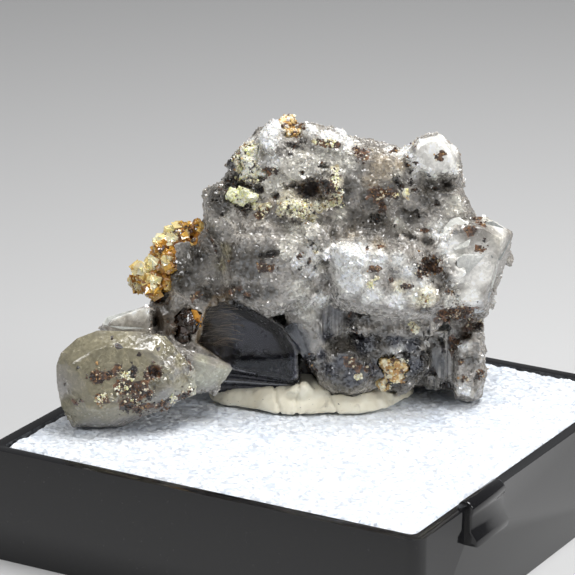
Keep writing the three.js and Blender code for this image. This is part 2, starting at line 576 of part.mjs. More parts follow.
function catchTab() {
  const profile = new THREE.Shape();
  profile.moveTo(-CATCH_LIP_RADIUS, -CATCH_DEPTH);
  profile.lineTo(CATCH_FOOT, -CATCH_DEPTH);
  profile.lineTo(CATCH_FOOT, CATCH_THICKNESS - CATCH_DEPTH);
  profile.lineTo(CATCH_THICKNESS, 2 * CATCH_THICKNESS - CATCH_DEPTH);
  profile.lineTo(CATCH_THICKNESS, -CATCH_LIP_RADIUS);
  profile.absarc(0, 0, CATCH_LIP_RADIUS * 1.3, -0.6, Math.PI, false);
  profile.lineTo(-CATCH_LIP_RADIUS * 1.3, -CATCH_LIP_RADIUS);
  profile.closePath();
  const tab = new THREE.ExtrudeGeometry(profile, {
    depth: CATCH_WIDTH - 2 * CATCH_BEVEL,
    bevelSize: CATCH_BEVEL, bevelThickness: CATCH_BEVEL, bevelOffset: -CATCH_BEVEL, bevelSegments: 2,
    curveSegments: 8,
  });
  tab.rotateX(Math.PI / 2);
  tab.translate(BOX_SIDE / 2, CATCH_ALONG + CATCH_WIDTH / 2 - CATCH_BEVEL, BOX_HEIGHT);
  return solidOf(tab);
}

function boxTray() {
  const outer = solidOf(roundedSquare(BOX_SIDE, BOX_CORNER_RADIUS, BOX_HEIGHT));
  const hollow = roundedSquare(BOX_INNER, BOX_CORNER_RADIUS / 2, BOX_HEIGHT);
  hollow.translate(0, 0, BOX_FLOOR);
  return outer.add(catchTab()).subtract(solidOf(hollow));
}

function foamPad() {
  const pad = roundedSquare(FOAM_SIDE, BOX_CORNER_RADIUS / 2, FOAM_TOP - BOX_FLOOR - FIT_GAP);
  pad.translate(0, 0, BOX_FLOOR + FIT_GAP);
  return solidOf(pad);
}

const specimen = new THREE.Group();
specimen.position.z = FOAM_TOP;
specimen.rotation.z = SPECIMEN_TURN;
specimen.add(meshOf("cerussite", cerussite, 0x9c9a94, 0.3));
specimen.add(meshOf("putty", putty, 0xe4ddc9, 0.7));
for (const [name, solid] of Object.entries(inclusions)) {
  specimen.add(meshOf(name, solid, INCLUSIONS[name].colour, INCLUSIONS[name].roughness));
}

const specimenBox = new THREE.Group();
specimenBox.add(meshOf("box_base", boxTray(), 0x0c0c0d, 0.25));
specimenBox.add(meshOf("foam_pad", foamPad(), 0xf4f6fa, 0.9));
specimenBox.add(specimen);

export default specimenBox;
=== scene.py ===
"""The looks of a stolzite-on-cerussite specimen that stands on foam in its small display box base.

Shapes are worked out in millimetres in the specimen's own frame, as in the part's source: +X runs from
left to right as it is displayed, +Y away from the viewer, and Z is 0 on top of the foam. place() turns
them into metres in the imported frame.
"""
import math
from contextlib import contextmanager

import bmesh
import bpy
import numpy as np
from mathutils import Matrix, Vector
from mathutils.bvhtree import BVHTree


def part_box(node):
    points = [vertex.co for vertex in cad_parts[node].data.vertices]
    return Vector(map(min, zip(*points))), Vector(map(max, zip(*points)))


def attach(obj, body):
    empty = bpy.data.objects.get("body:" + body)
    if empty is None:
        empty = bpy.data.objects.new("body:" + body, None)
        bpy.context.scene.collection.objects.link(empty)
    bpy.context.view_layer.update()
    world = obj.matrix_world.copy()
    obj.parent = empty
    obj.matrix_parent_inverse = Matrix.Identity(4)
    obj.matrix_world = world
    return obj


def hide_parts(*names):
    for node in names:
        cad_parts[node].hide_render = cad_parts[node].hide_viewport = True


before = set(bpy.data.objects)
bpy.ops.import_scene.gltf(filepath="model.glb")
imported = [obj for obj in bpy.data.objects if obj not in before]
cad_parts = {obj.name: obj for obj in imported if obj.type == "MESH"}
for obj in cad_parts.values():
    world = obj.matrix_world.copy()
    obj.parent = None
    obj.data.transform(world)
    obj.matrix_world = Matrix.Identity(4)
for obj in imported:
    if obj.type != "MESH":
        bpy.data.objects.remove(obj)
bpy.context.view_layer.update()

MM = 0.001
SAME_POINT = 1e-4
FLAT_ENOUGH = 0.02
BODY = "root"
SPECIMEN_TURN = math.radians(30)
FOAM_LOW, FOAM_HIGH = [np.array(corner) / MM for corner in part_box("foam_pad")]
FOAM_TOP = FOAM_HIGH[2]

# The display side: outlines are drawn on the upright picture plane through LOOK_AT, a across and b up.
EYE_DISTANCE = 215.7
EYE_ELEVATION = math.radians(18.44)
LOOK_AT = np.array([-2.02, 2.47, 7.42])
EYE_BACK = np.array([0, -math.cos(EYE_ELEVATION), math.sin(EYE_ELEVATION)])
PICTURE_UP = np.array([0, math.sin(EYE_ELEVATION), math.cos(EYE_ELEVATION)])
EYE = LOOK_AT + EYE_BACK * EYE_DISTANCE
LENS = 219.13
SENSOR = 36.0


# Places and frames

def ray_through(a, b):
    """From the eye to the point (a, b) of the picture plane."""
    return LOOK_AT + PICTURE_UP * b + np.array([a, 0, 0]) - EYE


def seen(a, b, y):
    """The point seen at (a, b) of the picture plane that lies at depth y."""
    ray = ray_through(a, b)
    return EYE + ray * ((y - EYE[1]) / ray[1])


def to_packed(points):
    """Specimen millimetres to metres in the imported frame."""
    c, s = math.cos(SPECIMEN_TURN), math.sin(SPECIMEN_TURN)
    x, y, z = np.asarray(points, float).T
    return np.stack([c * x - s * y, s * x + c * y, z + FOAM_TOP], 1) * MM


def to_specimen(points):
    """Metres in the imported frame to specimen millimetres."""
    c, s = math.cos(SPECIMEN_TURN), math.sin(SPECIMEN_TURN)
    x, y, z = (np.asarray(points, float) / MM).T
    return np.stack([c * x + s * y, -s * x + c * y, z - FOAM_TOP], 1)


# Mesh arrays

def coords(mesh):
    flat = np.empty(len(mesh.vertices) * 3)
    mesh.vertices.foreach_get("co", flat)
    return flat.reshape(-1, 3)


def set_coords(mesh, points):
    mesh.vertices.foreach_set("co", np.ascontiguousarray(points, float).ravel())
    mesh.update()


def vertex_normals(mesh):
    flat = np.empty(len(mesh.vertices) * 3)
    mesh.vertices.foreach_get("normal", flat)
    return flat.reshape(-1, 3)


def edge_pairs(mesh):
    flat = np.empty(len(mesh.edges) * 2, dtype=np.int64)
    mesh.edges.foreach_get("vertices", flat)
    return flat.reshape(-1, 2)


def relaxed(points, edges, rounds):
    """Points after rounds of moving each to the middle of its neighbours."""
    a, b = edges.T
    count = len(points)
    degree = np.bincount(np.concatenate([a, b]), minlength=count)[:, None]
    for _ in range(rounds):
        total = np.stack([np.bincount(a, points[b, i], count) + np.bincount(b, points[a, i], count)
                          for i in range(3)], 1)
        points = total / np.maximum(degree, 1)
    return points


@contextmanager
def edited(mesh):
    """mesh, open for editing."""
    work = bmesh.new()
    work.from_mesh(mesh)
    yield work
    work.to_mesh(mesh)
    work.free()


def new_object(name, points, faces):
    mesh = bpy.data.meshes.new(name)
    mesh.from_pydata(np.asarray(points, float), [], faces)
    obj = bpy.data.objects.new(name, mesh)
    bpy.context.scene.collection.objects.link(obj)
    return obj


def copy_of(node):
    """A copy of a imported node's mesh, in specimen millimetres."""
    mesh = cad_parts[node].data.copy()
    set_coords(mesh, to_specimen(coords(mesh)))
    obj = bpy.data.objects.new(node + "_copy", mesh)
    bpy.context.scene.collection.objects.link(obj)
    mesh.materials.clear()
    with edited(mesh) as work:
        bmesh.ops.remove_doubles(work, verts=work.verts, dist=SAME_POINT)
    return obj


def settle(obj):
    """Applies every modifier of obj."""
    graph = bpy.context.evaluated_depsgraph_get()
    mesh = bpy.data.meshes.new_from_object(obj.evaluated_get(graph))
    obj.modifiers.clear()
    obj.data = mesh


def remesh(obj, voxel):
    change = obj.modifiers.new("voxels", "REMESH")
    change.mode = "VOXEL"
    change.voxel_size = voxel
    settle(obj)


def cut(obj, cutter):
    change = obj.modifiers.new("pocket", "BOOLEAN")
    change.operation = "DIFFERENCE"
    change.solver = "MANIFOLD"
    change.object = cutter
    settle(obj)
    bpy.data.objects.remove(cutter)


def thin_out(obj, triangles):
    """Triangulates obj and collapses it to about that many triangles, fewest where it is flat."""
    obj.modifiers.new("triangles", "TRIANGULATE")
    settle(obj)
    if len(obj.data.polygons) > triangles:
        change = obj.modifiers.new("collapse", "DECIMATE")
        change.ratio = triangles / len(obj.data.polygons)
        settle(obj)


def bevelled(obj, width, segments, least_angle=None):
    """Rounds the edges of obj: all of them, or those at least as sharp as least_angle."""
    change = obj.modifiers.new("edges", "BEVEL")
    change.width = width
    change.segments = segments
    if least_angle:
        change.limit_method = "ANGLE"
        change.angle_limit = least_angle
    settle(obj)


def hull_object(name, points):
    obj = new_object(name, points, [])
    with edited(obj.data) as work:
        found = bmesh.ops.convex_hull(work, input=work.verts)
        spare = found["geom_interior"] + found["geom_unused"]
        inside = {part for part in spare if isinstance(part, bmesh.types.BMVert)}
        bmesh.ops.delete(work, geom=list(inside), context="VERTS")
        bmesh.ops.dissolve_limit(work, angle_limit=FLAT_ENOUGH, verts=work.verts, edges=work.edges)
    return obj


def attribute(mesh, name, values):
    """Stores one value per vertex: a number, or up to three numbers as a colour."""
    if values.ndim == 1:
        mesh.attributes.new(name, "FLOAT", "POINT").data.foreach_set("value", values)
        return
    colour = np.ones((len(values), 4))
    colour[:, :values.shape[1]] = values
    mesh.attributes.new(name, "FLOAT_COLOR", "POINT").data.foreach_set("color", colour.ravel())


def place(obj, slot, material, *nodes):
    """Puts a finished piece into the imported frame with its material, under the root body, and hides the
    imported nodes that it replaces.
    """
    set_coords(obj.data, to_packed(coords(obj.data)))
    obj.data.materials.clear()
    obj.data.materials.append(material)
    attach(obj, BODY)
    if nodes:
        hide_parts(*nodes)


# Repeatable noise

def hashed(cells, salt):
    """A number from 0 to 1 for each integer cell; salt picks the sequence."""
    x, y, z = (cells.astype(np.int64) & 0xFFFFFFFF).T
    h = (x * 73856093) ^ (y * 19349663) ^ (z * 83492791) ^ (salt * 2654435761)
    h &= 0xFFFFFFFF
    for _ in range(2):
        h = ((h ^ (h >> 15)) * 0x2C1B3C6D) & 0xFFFFFFFF
        h ^= h >> 12
    return h / 4294967296


def noise(points, size, salt):
    """Smooth noise from -1 to 1 with features about size across."""
    p = points / size
    cell = np.floor(p)
    f = p - cell
    f = f * f * (3 - 2 * f)
    total = np.zeros(len(p))
    for corner in np.ndindex(2, 2, 2):
        weight = np.prod(np.where(corner, f, 1 - f), 1)
        total += weight * hashed(cell + corner, salt)
    return 2 * total - 1


def layered(points, size, salt, layers=3):
    return sum(noise(points, size / 2**k, salt + k) / 2**k for k in range(layers)) / 1.6


def unit_vectors(cells, salt):
    z = 2 * hashed(cells, salt) - 1
    angle = 2 * math.pi * hashed(cells, salt + 1)
    r = np.sqrt(1 - z * z)
    return np.stack([r * np.cos(angle), r * np.sin(angle), z], 1)


def blocky(points, size, salt, shape=(1, 0.8, 0.6)):
    """Relief of grown-together blocks: each cell holds a box at a random tilt, and the tallest shows."""
    p = points / size
    base = np.floor(p - 0.5)
    best = np.full(len(p), -1.0)
    for corner in np.ndindex(2, 2, 2):
        cell = base + corner
        centre = cell + 0.5 + 0.5 * np.stack([hashed(cell, salt + i) - 0.5 for i in range(3)], 1)
        d = p - centre
        e1 = unit_vectors(cell, salt + 3)
        e2 = np.cross(e1, unit_vectors(cell, salt + 5))
        e2 /= np.linalg.norm(e2, axis=1)[:, None] + 1e-9
        e3 = np.cross(e1, e2)
        reach = np.max([np.abs((d * e).sum(1)) / s for e, s in zip((e1, e2, e3), shape)], 0)
        best = np.maximum(best, 0.45 + 0.3 * hashed(cell, salt + 7) - reach)
    return best


def smooth_step(x, low, high):
    t = np.clip((x - low) / (high - low), 0, 1)
    return t * t * (3 - 2 * t)


# Places in the picture, in pixels of its 575-pixel frame

PICTURE_MIDDLE = 287.5
PIXELS_PER_MM = 16.23

# Broad tones of the crystal mass: a colour and its patches as (across, down, radius); the later lie on top
TONES = {
    "pale": ((0.58, 0.555, 0.495), [
        (300, 165, 20), (325, 158, 22), (345, 160, 13), (280, 185, 15), (310, 225, 14), (295, 232, 14),
        (285, 250, 10), (228, 212, 9), (300, 290, 12), (312, 250, 12), (318, 262, 10), (308, 312, 14),
        (300, 330, 8), (500, 240, 12), (492, 222, 12), (430, 175, 12), (455, 170, 10), (455, 300, 14),
        (340, 215, 9), (400, 225, 10), (455, 205, 12), (330, 345, 8), (395, 172, 10), (120, 314, 9),
        (140, 314, 8)]),
    # dim: partly the crystal's own dark grey, and partly painted shade under the ledge across the lower
    # middle
    "dim": ((0.075, 0.067, 0.056), [
        (150, 337, 10), (164, 344, 10), (172, 352, 7), (191, 250, 8), (212, 232, 8), (270, 254, 9),
        (252, 273, 9), (250, 292, 10), (270, 292, 9), (431, 190, 11), (392, 188, 7), (446, 189, 9),
        (333, 232, 6), (350, 233, 7), (350, 362, 26), (385, 358, 24), (415, 368, 20), (340, 382, 16),
        (240, 264, 20), (150, 385, 14), (120, 380, 12), (232, 252, 12), (248, 262, 10), (228, 300, 12),
        (430, 345, 12), (470, 360, 8), (400, 350, 14), (335, 350, 12), (395, 385, 12), (350, 188, 9),
        (446, 280, 8), (221, 205, 17), (212, 197, 11), (369, 200, 13), (357, 215, 12), (372, 222, 12),
        (428, 197, 12), (410, 215, 12), (180, 272, 20), (196, 254, 14), (165, 300, 13), (206, 292, 12),
        (236, 288, 10), (257, 257, 12), (215, 235, 8), (350, 352, 20), (380, 338, 18), (412, 342, 16),
        (352, 376, 20), (400, 368, 18), (430, 355, 12), (340, 200, 10), (425, 308, 8), (365, 318, 12)]),
    "olive": ((0.265, 0.24, 0.16), [
        (321, 199, 6), (311, 193, 4), (85, 360, 32), (120, 350, 30), (100, 395, 32), (140, 370, 26),
        (75, 410, 22), (130, 405, 20), (165, 345, 18), (165, 375, 14), (180, 385, 14), (180, 360, 10),
        (225, 250, 9), (222, 265, 8)]),
    "tip": ((0.4, 0.39, 0.31), [
        (205, 378, 17), (220, 374, 12), (196, 392, 10), (203, 360, 9), (228, 378, 8)]),
    "tan": ((0.38, 0.32, 0.24), [
        (382, 168, 17), (372, 182, 12), (400, 163, 9), (293, 210, 13), (425, 298, 14), (352, 240, 8),
        (335, 182, 8), (378, 246, 9), (400, 286, 9), (270, 205, 6)]),
    "white": ((0.9, 0.88, 0.83), [
        (118, 316, 9), (135, 311, 9), (146, 311, 6), (106, 322, 6), (455, 150, 9), (433, 138, 9),
        (500, 228, 8), (425, 145, 14), (440, 165, 12), (450, 160, 10), (430, 170, 10), (445, 140, 10),
        (453, 170, 7), (402, 152, 9), (410, 146, 8), (420, 137, 7), (452, 142, 7), (391, 150, 6),
        (414, 175, 7), (250, 128, 7), (250, 140, 6), (262, 121, 6), (340, 130, 8), (312, 252, 9),
        (311, 270, 8), (266, 136, 17), (258, 152, 11), (277, 124, 9), (312, 128, 9), (330, 135, 12),
        (347, 140, 10), (433, 150, 21), (417, 163, 14), (447, 152, 13), (408, 156, 9), (345, 262, 20),
        (360, 255, 16), (380, 260, 11), (398, 260, 9), (330, 254, 10), (440, 232, 11), (452, 250, 13),
        (476, 272, 21), (480, 250, 10), (350, 280, 18), (372, 296, 12), (320, 300, 10), (395, 300, 10),
        (422, 292, 14), (408, 272, 10), (443, 325, 8), (464, 343, 8), (464, 392, 9), (398, 348, 8),
        (427, 342, 5), (300, 262, 9), (470, 298, 12), (273, 160, 8)]),
    "cream": ((0.86, 0.79, 0.62), [
        (293, 208, 12), (282, 205, 7), (305, 213, 8), (314, 205, 6), (425, 298, 12), (250, 152, 9),
        (246, 166, 8), (336, 182, 6), (334, 196, 5), (400, 286, 7), (326, 206, 5)]),
    # blue: a bluish dark grey, partly the crystal's own tone and partly painted shade under the ledge
    # across the lower middle
    "blue": ((0.042, 0.044, 0.056), [
        (331, 318, 13), (327, 336, 10), (300, 345, 14), (292, 333, 8), (306, 357, 8), (262, 356, 20),
        (240, 360, 16), (282, 360, 15), (342, 362, 12), (365, 345, 12), (390, 372, 14), (330, 372, 14),
        (352, 378, 14), (372, 372, 12), (415, 365, 12), (412, 345, 10), (395, 340, 10), (285, 365, 14),
        (322, 355, 9)]),
    "brown": ((0.085, 0.058, 0.035), [
        (472, 323, 11), (467, 334, 9), (318, 189, 13), (331, 190, 8), (303, 188, 7), (158, 322, 9),
        (168, 333, 9), (212, 318, 17), (204, 335, 12), (225, 300, 11), (238, 312, 9), (180, 322, 16),
        (165, 320, 9)]),
    # dark: near black as painted shade in the cavities, gaps and hollows, and under the ribbed foot
    "dark": ((0.012, 0.011, 0.013), [
        (431, 370, 7), (303, 362, 6), (306, 373, 9), (312, 382, 7), (313, 366, 6), (309, 371, 10),
        (291, 366, 5), (350, 322, 8), (442, 362, 9), (240, 381, 14), (270, 386, 12), (230, 165, 7),
        (243, 185, 12), (447, 386, 7)]),
}

# Stains: spots as (across, down, radius) and streaks as (across, down, across, down, radius)
STAINS = {
    "rust": [
        (294, 133, 8), (299, 127, 5), (268, 172, 6), (275, 170, 4), (318, 142, 338, 145, 3),
        (363, 153, 9), (357, 150, 5), (371, 192, 392, 194, 5), (378, 197, 384, 209, 4),
        (397, 150, 390, 152, 3), (414, 144, 2.5), (404, 146, 2.5), (439, 158, 3), (444, 153, 2.5),
        (416, 163, 2.5), (407, 157, 2.5), (407, 165, 2), (330, 190, 6), (334, 178, 333, 201, 4),
        (470, 228, 5), (478, 218, 6), (482, 224, 4), (476, 250, 487, 247, 2.5), (428, 266, 10),
        (434, 262, 8), (439, 268, 6), (443, 316, 470, 310, 8), (422, 272, 5), (368, 249, 3),
        (380, 247, 3), (371, 270, 3), (379, 268, 3), (404, 286, 3), (409, 287, 2.5), (391, 279, 2.5),
        (448, 291, 3), (453, 294, 2.5), (438, 319, 470, 312, 5), (462, 316, 7), (470, 326, 6),
        (480, 324, 4), (455, 344, 6), (452, 350, 4), (464, 379, 4), (480, 373, 4), (461, 362, 3),
        (258, 215, 5), (266, 211, 4), (262, 268, 5), (270, 268, 5), (193, 297, 200, 294, 3),
        (309, 372, 7), (350, 362, 6), (357, 366, 5), (366, 369, 3), (390, 369, 5), (403, 376, 4),
        (205, 222, 221, 266, 1.6), (98, 376, 8), (130, 388, 8), (121, 383, 5), (107, 376, 118, 370, 3),
        (154, 371, 7), (148, 376, 5), (145, 392, 8), (137, 397, 6), (128, 404, 9), (140, 408, 7),
        (120, 391, 5), (162, 405, 6), (183, 397, 6), (190, 391, 3), (103, 400, 5), (97, 396, 3),
        (74, 402, 81, 402, 2), (186, 358, 191, 369, 2), (300, 256, 3), (310, 260, 2.5), (424, 230, 3),
        (180, 330, 8), (239, 152, 4), (222, 170, 228, 158, 3), (229, 262, 2), (247, 295, 3),
        (230, 292, 240, 288, 2.5)],
    "soot": [
        (128, 391, 5), (134, 370, 5), (150, 398, 5), (168, 401, 4), (92, 378, 3), (330, 192, 5),
        (300, 189, 4), (308, 182, 5), (228, 191, 8), (236, 186, 8), (251, 191, 6), (226, 178, 5),
        (239, 197, 5), (231, 201, 4), (246, 210, 6), (218, 190, 4), (259, 190, 5), (299, 144, 4),
        (232, 180, 9), (244, 186, 9), (258, 178, 6), (249, 167, 2.5), (240, 160, 2), (243, 207, 7),
        (312, 188, 8), (322, 184, 7), (305, 195, 5), (288, 213, 4), (302, 173, 2.5), (323, 166, 3),
        (291, 155, 2.5), (286, 187, 3), (293, 186, 3.5), (276, 196, 4), (377, 219, 5), (417, 213, 3),
        (437, 204, 2.5), (395, 224, 2.5), (484, 241, 2.5), (410, 170, 411, 190, 2),
        (396, 180, 401, 188, 3), (425, 174, 431, 174, 3), (411, 190, 420, 190, 2),
        (434, 188, 442, 188, 2), (264, 257, 279, 253, 3), (310, 243, 314, 249, 3), (428, 267, 8),
        (433, 263, 6), (289, 144, 299, 148, 4), (348, 315, 352, 330, 6), (352, 334, 360, 336, 3),
        (381, 359, 407, 358, 2.5), (422, 355, 4), (433, 372, 4), (478, 378, 5), (454, 360, 3),
        (446, 386, 5), (475, 326, 5), (112, 337, 2), (118, 346, 3.5), (158, 349, 2.5), (139, 355, 2.5),
        (77, 368, 2), (65, 384, 2), (62, 420, 2), (127, 408, 6), (139, 412, 4), (162, 405, 4),
        (183, 397, 4), (133, 376, 4), (153, 371, 5), (109, 374, 3), (309, 370, 8), (313, 358, 3),
        (175, 322, 6), (186, 330, 6), (236, 205, 4), (441, 340, 444, 352, 2), (300, 268, 2), (309, 262, 2)],
    "lime": [
        (336, 168, 340, 202, 3), (339, 203, 318, 209, 3), (298, 210, 8), (288, 202, 5), (306, 205, 5),
        (268, 205, 3), (262, 216, 3), (240, 148, 4), (236, 158, 4), (246, 176, 6), (256, 180, 4),
        (425, 298, 5), (250, 150, 8), (243, 158, 8), (252, 165, 7), (240, 170, 5), (259, 172, 4),
        (233, 194, 6), (247, 193, 6), (240, 202, 4), (254, 205, 4), (263, 209, 5), (282, 206, 5),
        (295, 204, 6), (305, 213, 7), (280, 214, 4), (312, 219, 4), (290, 122, 6), (284, 126, 4),
        (316, 142, 3), (325, 143, 334, 142, 3.5), (334, 168, 336, 203, 2.5), (396, 196, 4),
        (406, 193, 3.5), (370, 284, 3.5), (377, 279, 2), (358, 377, 3.5), (388, 385, 4), (402, 361, 4),
        (394, 379, 3), (413, 326, 4), (416, 331, 3), (315, 252, 2.5), (125, 376, 5), (131, 378, 3),
        (120, 390, 4), (126, 387, 3), (133, 401, 3), (172, 399, 4), (99, 399, 4), (104, 396, 3),
        (190, 389, 2.5), (341, 205, 2.5)],
}

# Seeds of the stains that lie on the far side
FAR_SEEDS = {"rust": 371, "soot": 374, "lime": 379}

# Flat or water-worn crystal faces, where nothing small grows
SMOOTH_FACES = [
    (62, 375, 16), (62, 400, 16), (70, 350, 14), (66, 418, 14), (100, 415, 30), (130, 412, 26),
    (160, 400, 20), (178, 395, 16), (155, 349, 11), (196, 391, 12), (226, 387, 10), (204, 360, 12),
    (231, 373, 9), (436, 152, 20), (452, 160, 12), (240, 336, 42), (210, 325, 24), (300, 342, 16),
    (328, 318, 16), (238, 380, 26), (85, 362, 36), (120, 356, 34), (100, 398, 30), (140, 352, 20),
    (212, 376, 22), (125, 320, 24), (475, 270, 24), (502, 242, 13), (442, 360, 16), (262, 384, 14),
    (165, 320, 12), (310, 370, 12), (482, 258, 34), (500, 238, 18), (476, 296, 18)]

# Where larger crystals close the seams between the main blocks, as streaks
BRIDGES = [
    (319, 236, 324, 300, 11), (298, 228, 345, 234, 7), (352, 237, 440, 238, 7), (452, 264, 446, 306, 9),
    (206, 290, 240, 300, 8), (440, 316, 470, 320, 7), (352, 330, 430, 330, 7)]

# Faces ribbed from top to bottom, as streaks
RIBBED = [
    (331, 300, 331, 334, 14), (434, 332, 436, 384, 13), (449, 335, 451, 380, 9), (352, 345, 372, 345, 8)]


def picture_plane(u, v):
    return (u - PICTURE_MIDDLE) / PIXELS_PER_MM, (PICTURE_MIDDLE - v) / PIXELS_PER_MM


def picture_coordinates(points):
    """Where points appear on the picture plane, as (a, b)."""
    ray = points - EYE
    scale = -EYE_DISTANCE / (ray @ EYE_BACK)
    return np.stack([ray[:, 0] * scale, (ray @ PICTURE_UP) * scale], 1)


def outside_by(points, outline):
    """How far points appear outside a convex outline of the picture plane, below 0 inside it."""
    where = picture_coordinates(points)
    corners = np.array(outline)
    along = np.roll(corners, -1, 0) - corners
    out = np.stack([-along[:, 1], along[:, 0]], 1) / np.linalg.norm(along, axis=1)[:, None]
    return np.max([(where - corner) @ way for corner, way in zip(corners, out)], 0)


def surface_finder(obj):
    return BVHTree.FromPolygons([Vector(p) for p in coords(obj.data)],
                                [tuple(f.vertices) for f in obj.data.polygons])


def under_pixel(finder, u, v):
    """The point and outward direction of the surface seen at a pixel, or None where there is none."""
    sight = Vector(ray_through(*picture_plane(u, v))).normalized()
    point, normal, _, _ = finder.ray_cast(Vector(EYE), sight)
    return None if point is None else (np.array(point), np.array(normal))


def laid_on(finder, marks):
    """Each mark's two ends on the surface and its radius in mm."""
    laid = []
    for mark in marks:
        ends = [under_pixel(finder, *mark[i:i + 2]) for i in (0, len(mark) - 3)]
        if all(ends):
            laid.append((ends[0][0], ends[1][0], mark[-1] / PIXELS_PER_MM))
    return laid


def coverage(points, laid, warp, inner=0.55, outer=1.2):
    """How far each point lies inside any mark, from 0 to 1."""
    best = np.zeros(len(points))
    for start, end, radius in laid:
        along = end - start
        reach = points - start
        if along @ along > 0:
            reach = reach - np.clip(reach @ along / (along @ along), 0, 1)[:, None] * along
        share = np.linalg.norm(reach, axis=1) * warp / radius
        best = np.maximum(best, 1 - smooth_step(share, inner, outer))
    return best


# The clear crystal and the look of the walls behind it
CLEAR_FACE = [
    (-5.75, -3.4), (-5.6, -2.5), (-5.1, -1.2), (-4.5, -0.4), (-3.6, -0.5), (-0.3, -2.3), (0.6, -3.9),
    (0.65, -5.6), (0.25, -5.85), (-3.3, -5.1)]
CLEAR_FRONT = 1.25
CLEAR_BACK = 3.9
CLEAR_LEAN = (-0.14, 0.05)
CLEAR_CENTRE = (-2.6, -3.3)
SMOKE = (0.008, 0.0075, 0.009)
SLATE = (0.12, 0.12, 0.16)
TEA = (0.26, 0.20, 0.13)
BLUNT_PRISM = [
    (-0.25, -2.5), (0.3, -2.15), (0.9, -2.2), (1.3, -2.8), (1.45, -3.8), (1.85, -4.5), (1.7, -4.85)]
# The shadowed gap right of the clear crystal, under the blunt prism: its walls get near-black painted shade
SHADOWED_GAP = [(0.6, -4), (1.75, -4.85), (1.95, -6), (0.65, -5.9)]
FLAT_DEPTH = 2.4


def pocket_tone(points, colour):
    """colour, but smoky on the walls behind the clear crystal: brown at the left and slate low down; near
    black behind the blunt prism, and near-black painted shade in the gap under it.
    """
    a, b = picture_coordinates(points).T
    inside = smooth_step(-outside_by(points, CLEAR_FACE), -0.05, 0.15) * (points[:, 1] < CLEAR_BACK + 1)
    cloud = smooth_step(-b + 0.5 * layered(points, 1.2, 351), 3.7, 4.7)
    tea = smooth_step(-a + 0.35 * layered(points * [1, 1, 3], 1, 352), 3, 4.6)
    wall = np.array(SMOKE) * (1 - cloud[:, None]) + np.array(SLATE) * cloud[:, None]
    wall = wall * (1 - tea[:, None]) + np.array(TEA) * tea[:, None]
    colour = colour * (1 - inside[:, None]) + wall * inside[:, None]
    for outline, dark in ((BLUNT_PRISM, (0.02, 0.022, 0.03)), (SHADOWED_GAP, (0.009, 0.006, 0.005))):
        inside = smooth_step(-outside_by(points, outline), -0.02, 0.04) * (points[:, 1] < FLAT_DEPTH + 1)
        colour = colour * (1 - inside[:, None]) + np.array(dark) * inside[:, None]
    return colour


# Tones and smooth faces reach further back than across, by counting less of the depth
DEPTH_SHARE = np.array([1, 0.5, 1])


def far_side(points):
    """1 on the side that the picture doesn't show, which gets patches and stains of its own."""
    return smooth_step(points[:, 1], 3.5, 5.5)


def flattened(laid):
    return [(start * DEPTH_SHARE, end * DEPTH_SHARE, radius) for start, end, radius in laid]


class Places:
    """The marks of the picture laid on one finished surface."""

    def __init__(self, obj):
        self.finder = surface_finder(obj)
        self.tones = {name: flattened(laid_on(self.finder, marks)) for name, (_, marks) in TONES.items()}
        self.stains = {name: laid_on(self.finder, marks) for name, marks in STAINS.items()}
        self.smooth = flattened(laid_on(self.finder, SMOOTH_FACES))
        self.ribbed = laid_on(self.finder, RIBBED)

    def tone(self, points):
        """The broad colour of the crystal at each point, with the painted shade that the dim, blue and dark
        patches carry.
        """
        warp = 1 + 0.5 * layered(points, 1.3, 301, 4)
        shade = 0.5 + 0.5 * layered(points, 3.2, 311, 3)
        grey = (0.21 + 0.17 * shade)[:, None] * np.array([1.07, 1.0, 0.90])
        patches = 0.5 * smooth_step(shade, 0.47, 0.62) - 0.14 * smooth_step(-shade, -0.42, -0.3)
        grey += (far_side(points) * patches)[:, None]
        for name, (colour, _) in TONES.items():
            part = coverage(points * DEPTH_SHARE, self.tones[name], warp, 0.4, 1.3)[:, None]
            grey = grey * (1 - part) + np.array(colour) * part
        return pocket_tone(points, grey)

    def stain(self, points, kind):
        ragged = 1 + 0.6 * layered(points, 0.5, 321, 3) + 0.4 * noise(points, 0.17, 325)
        wild = far_side(points) * smooth_step(layered(points, 1.5, FAR_SEEDS[kind], 3), 0.36, 0.5)
        return np.maximum(coverage(points, self.stains[kind], ragged, 0.6, 1.3), wild)

    def smoothness(self, points):
        return coverage(points * DEPTH_SHARE, self.smooth, 1 + 0.1 * noise(points, 1.5, 331), 0.85, 1.15)

    def ribs(self, points):
        return coverage(points, self.ribbed, 1 + 0.4 * noise(points, 0.8, 341), 0.7, 1.15)


# Materials

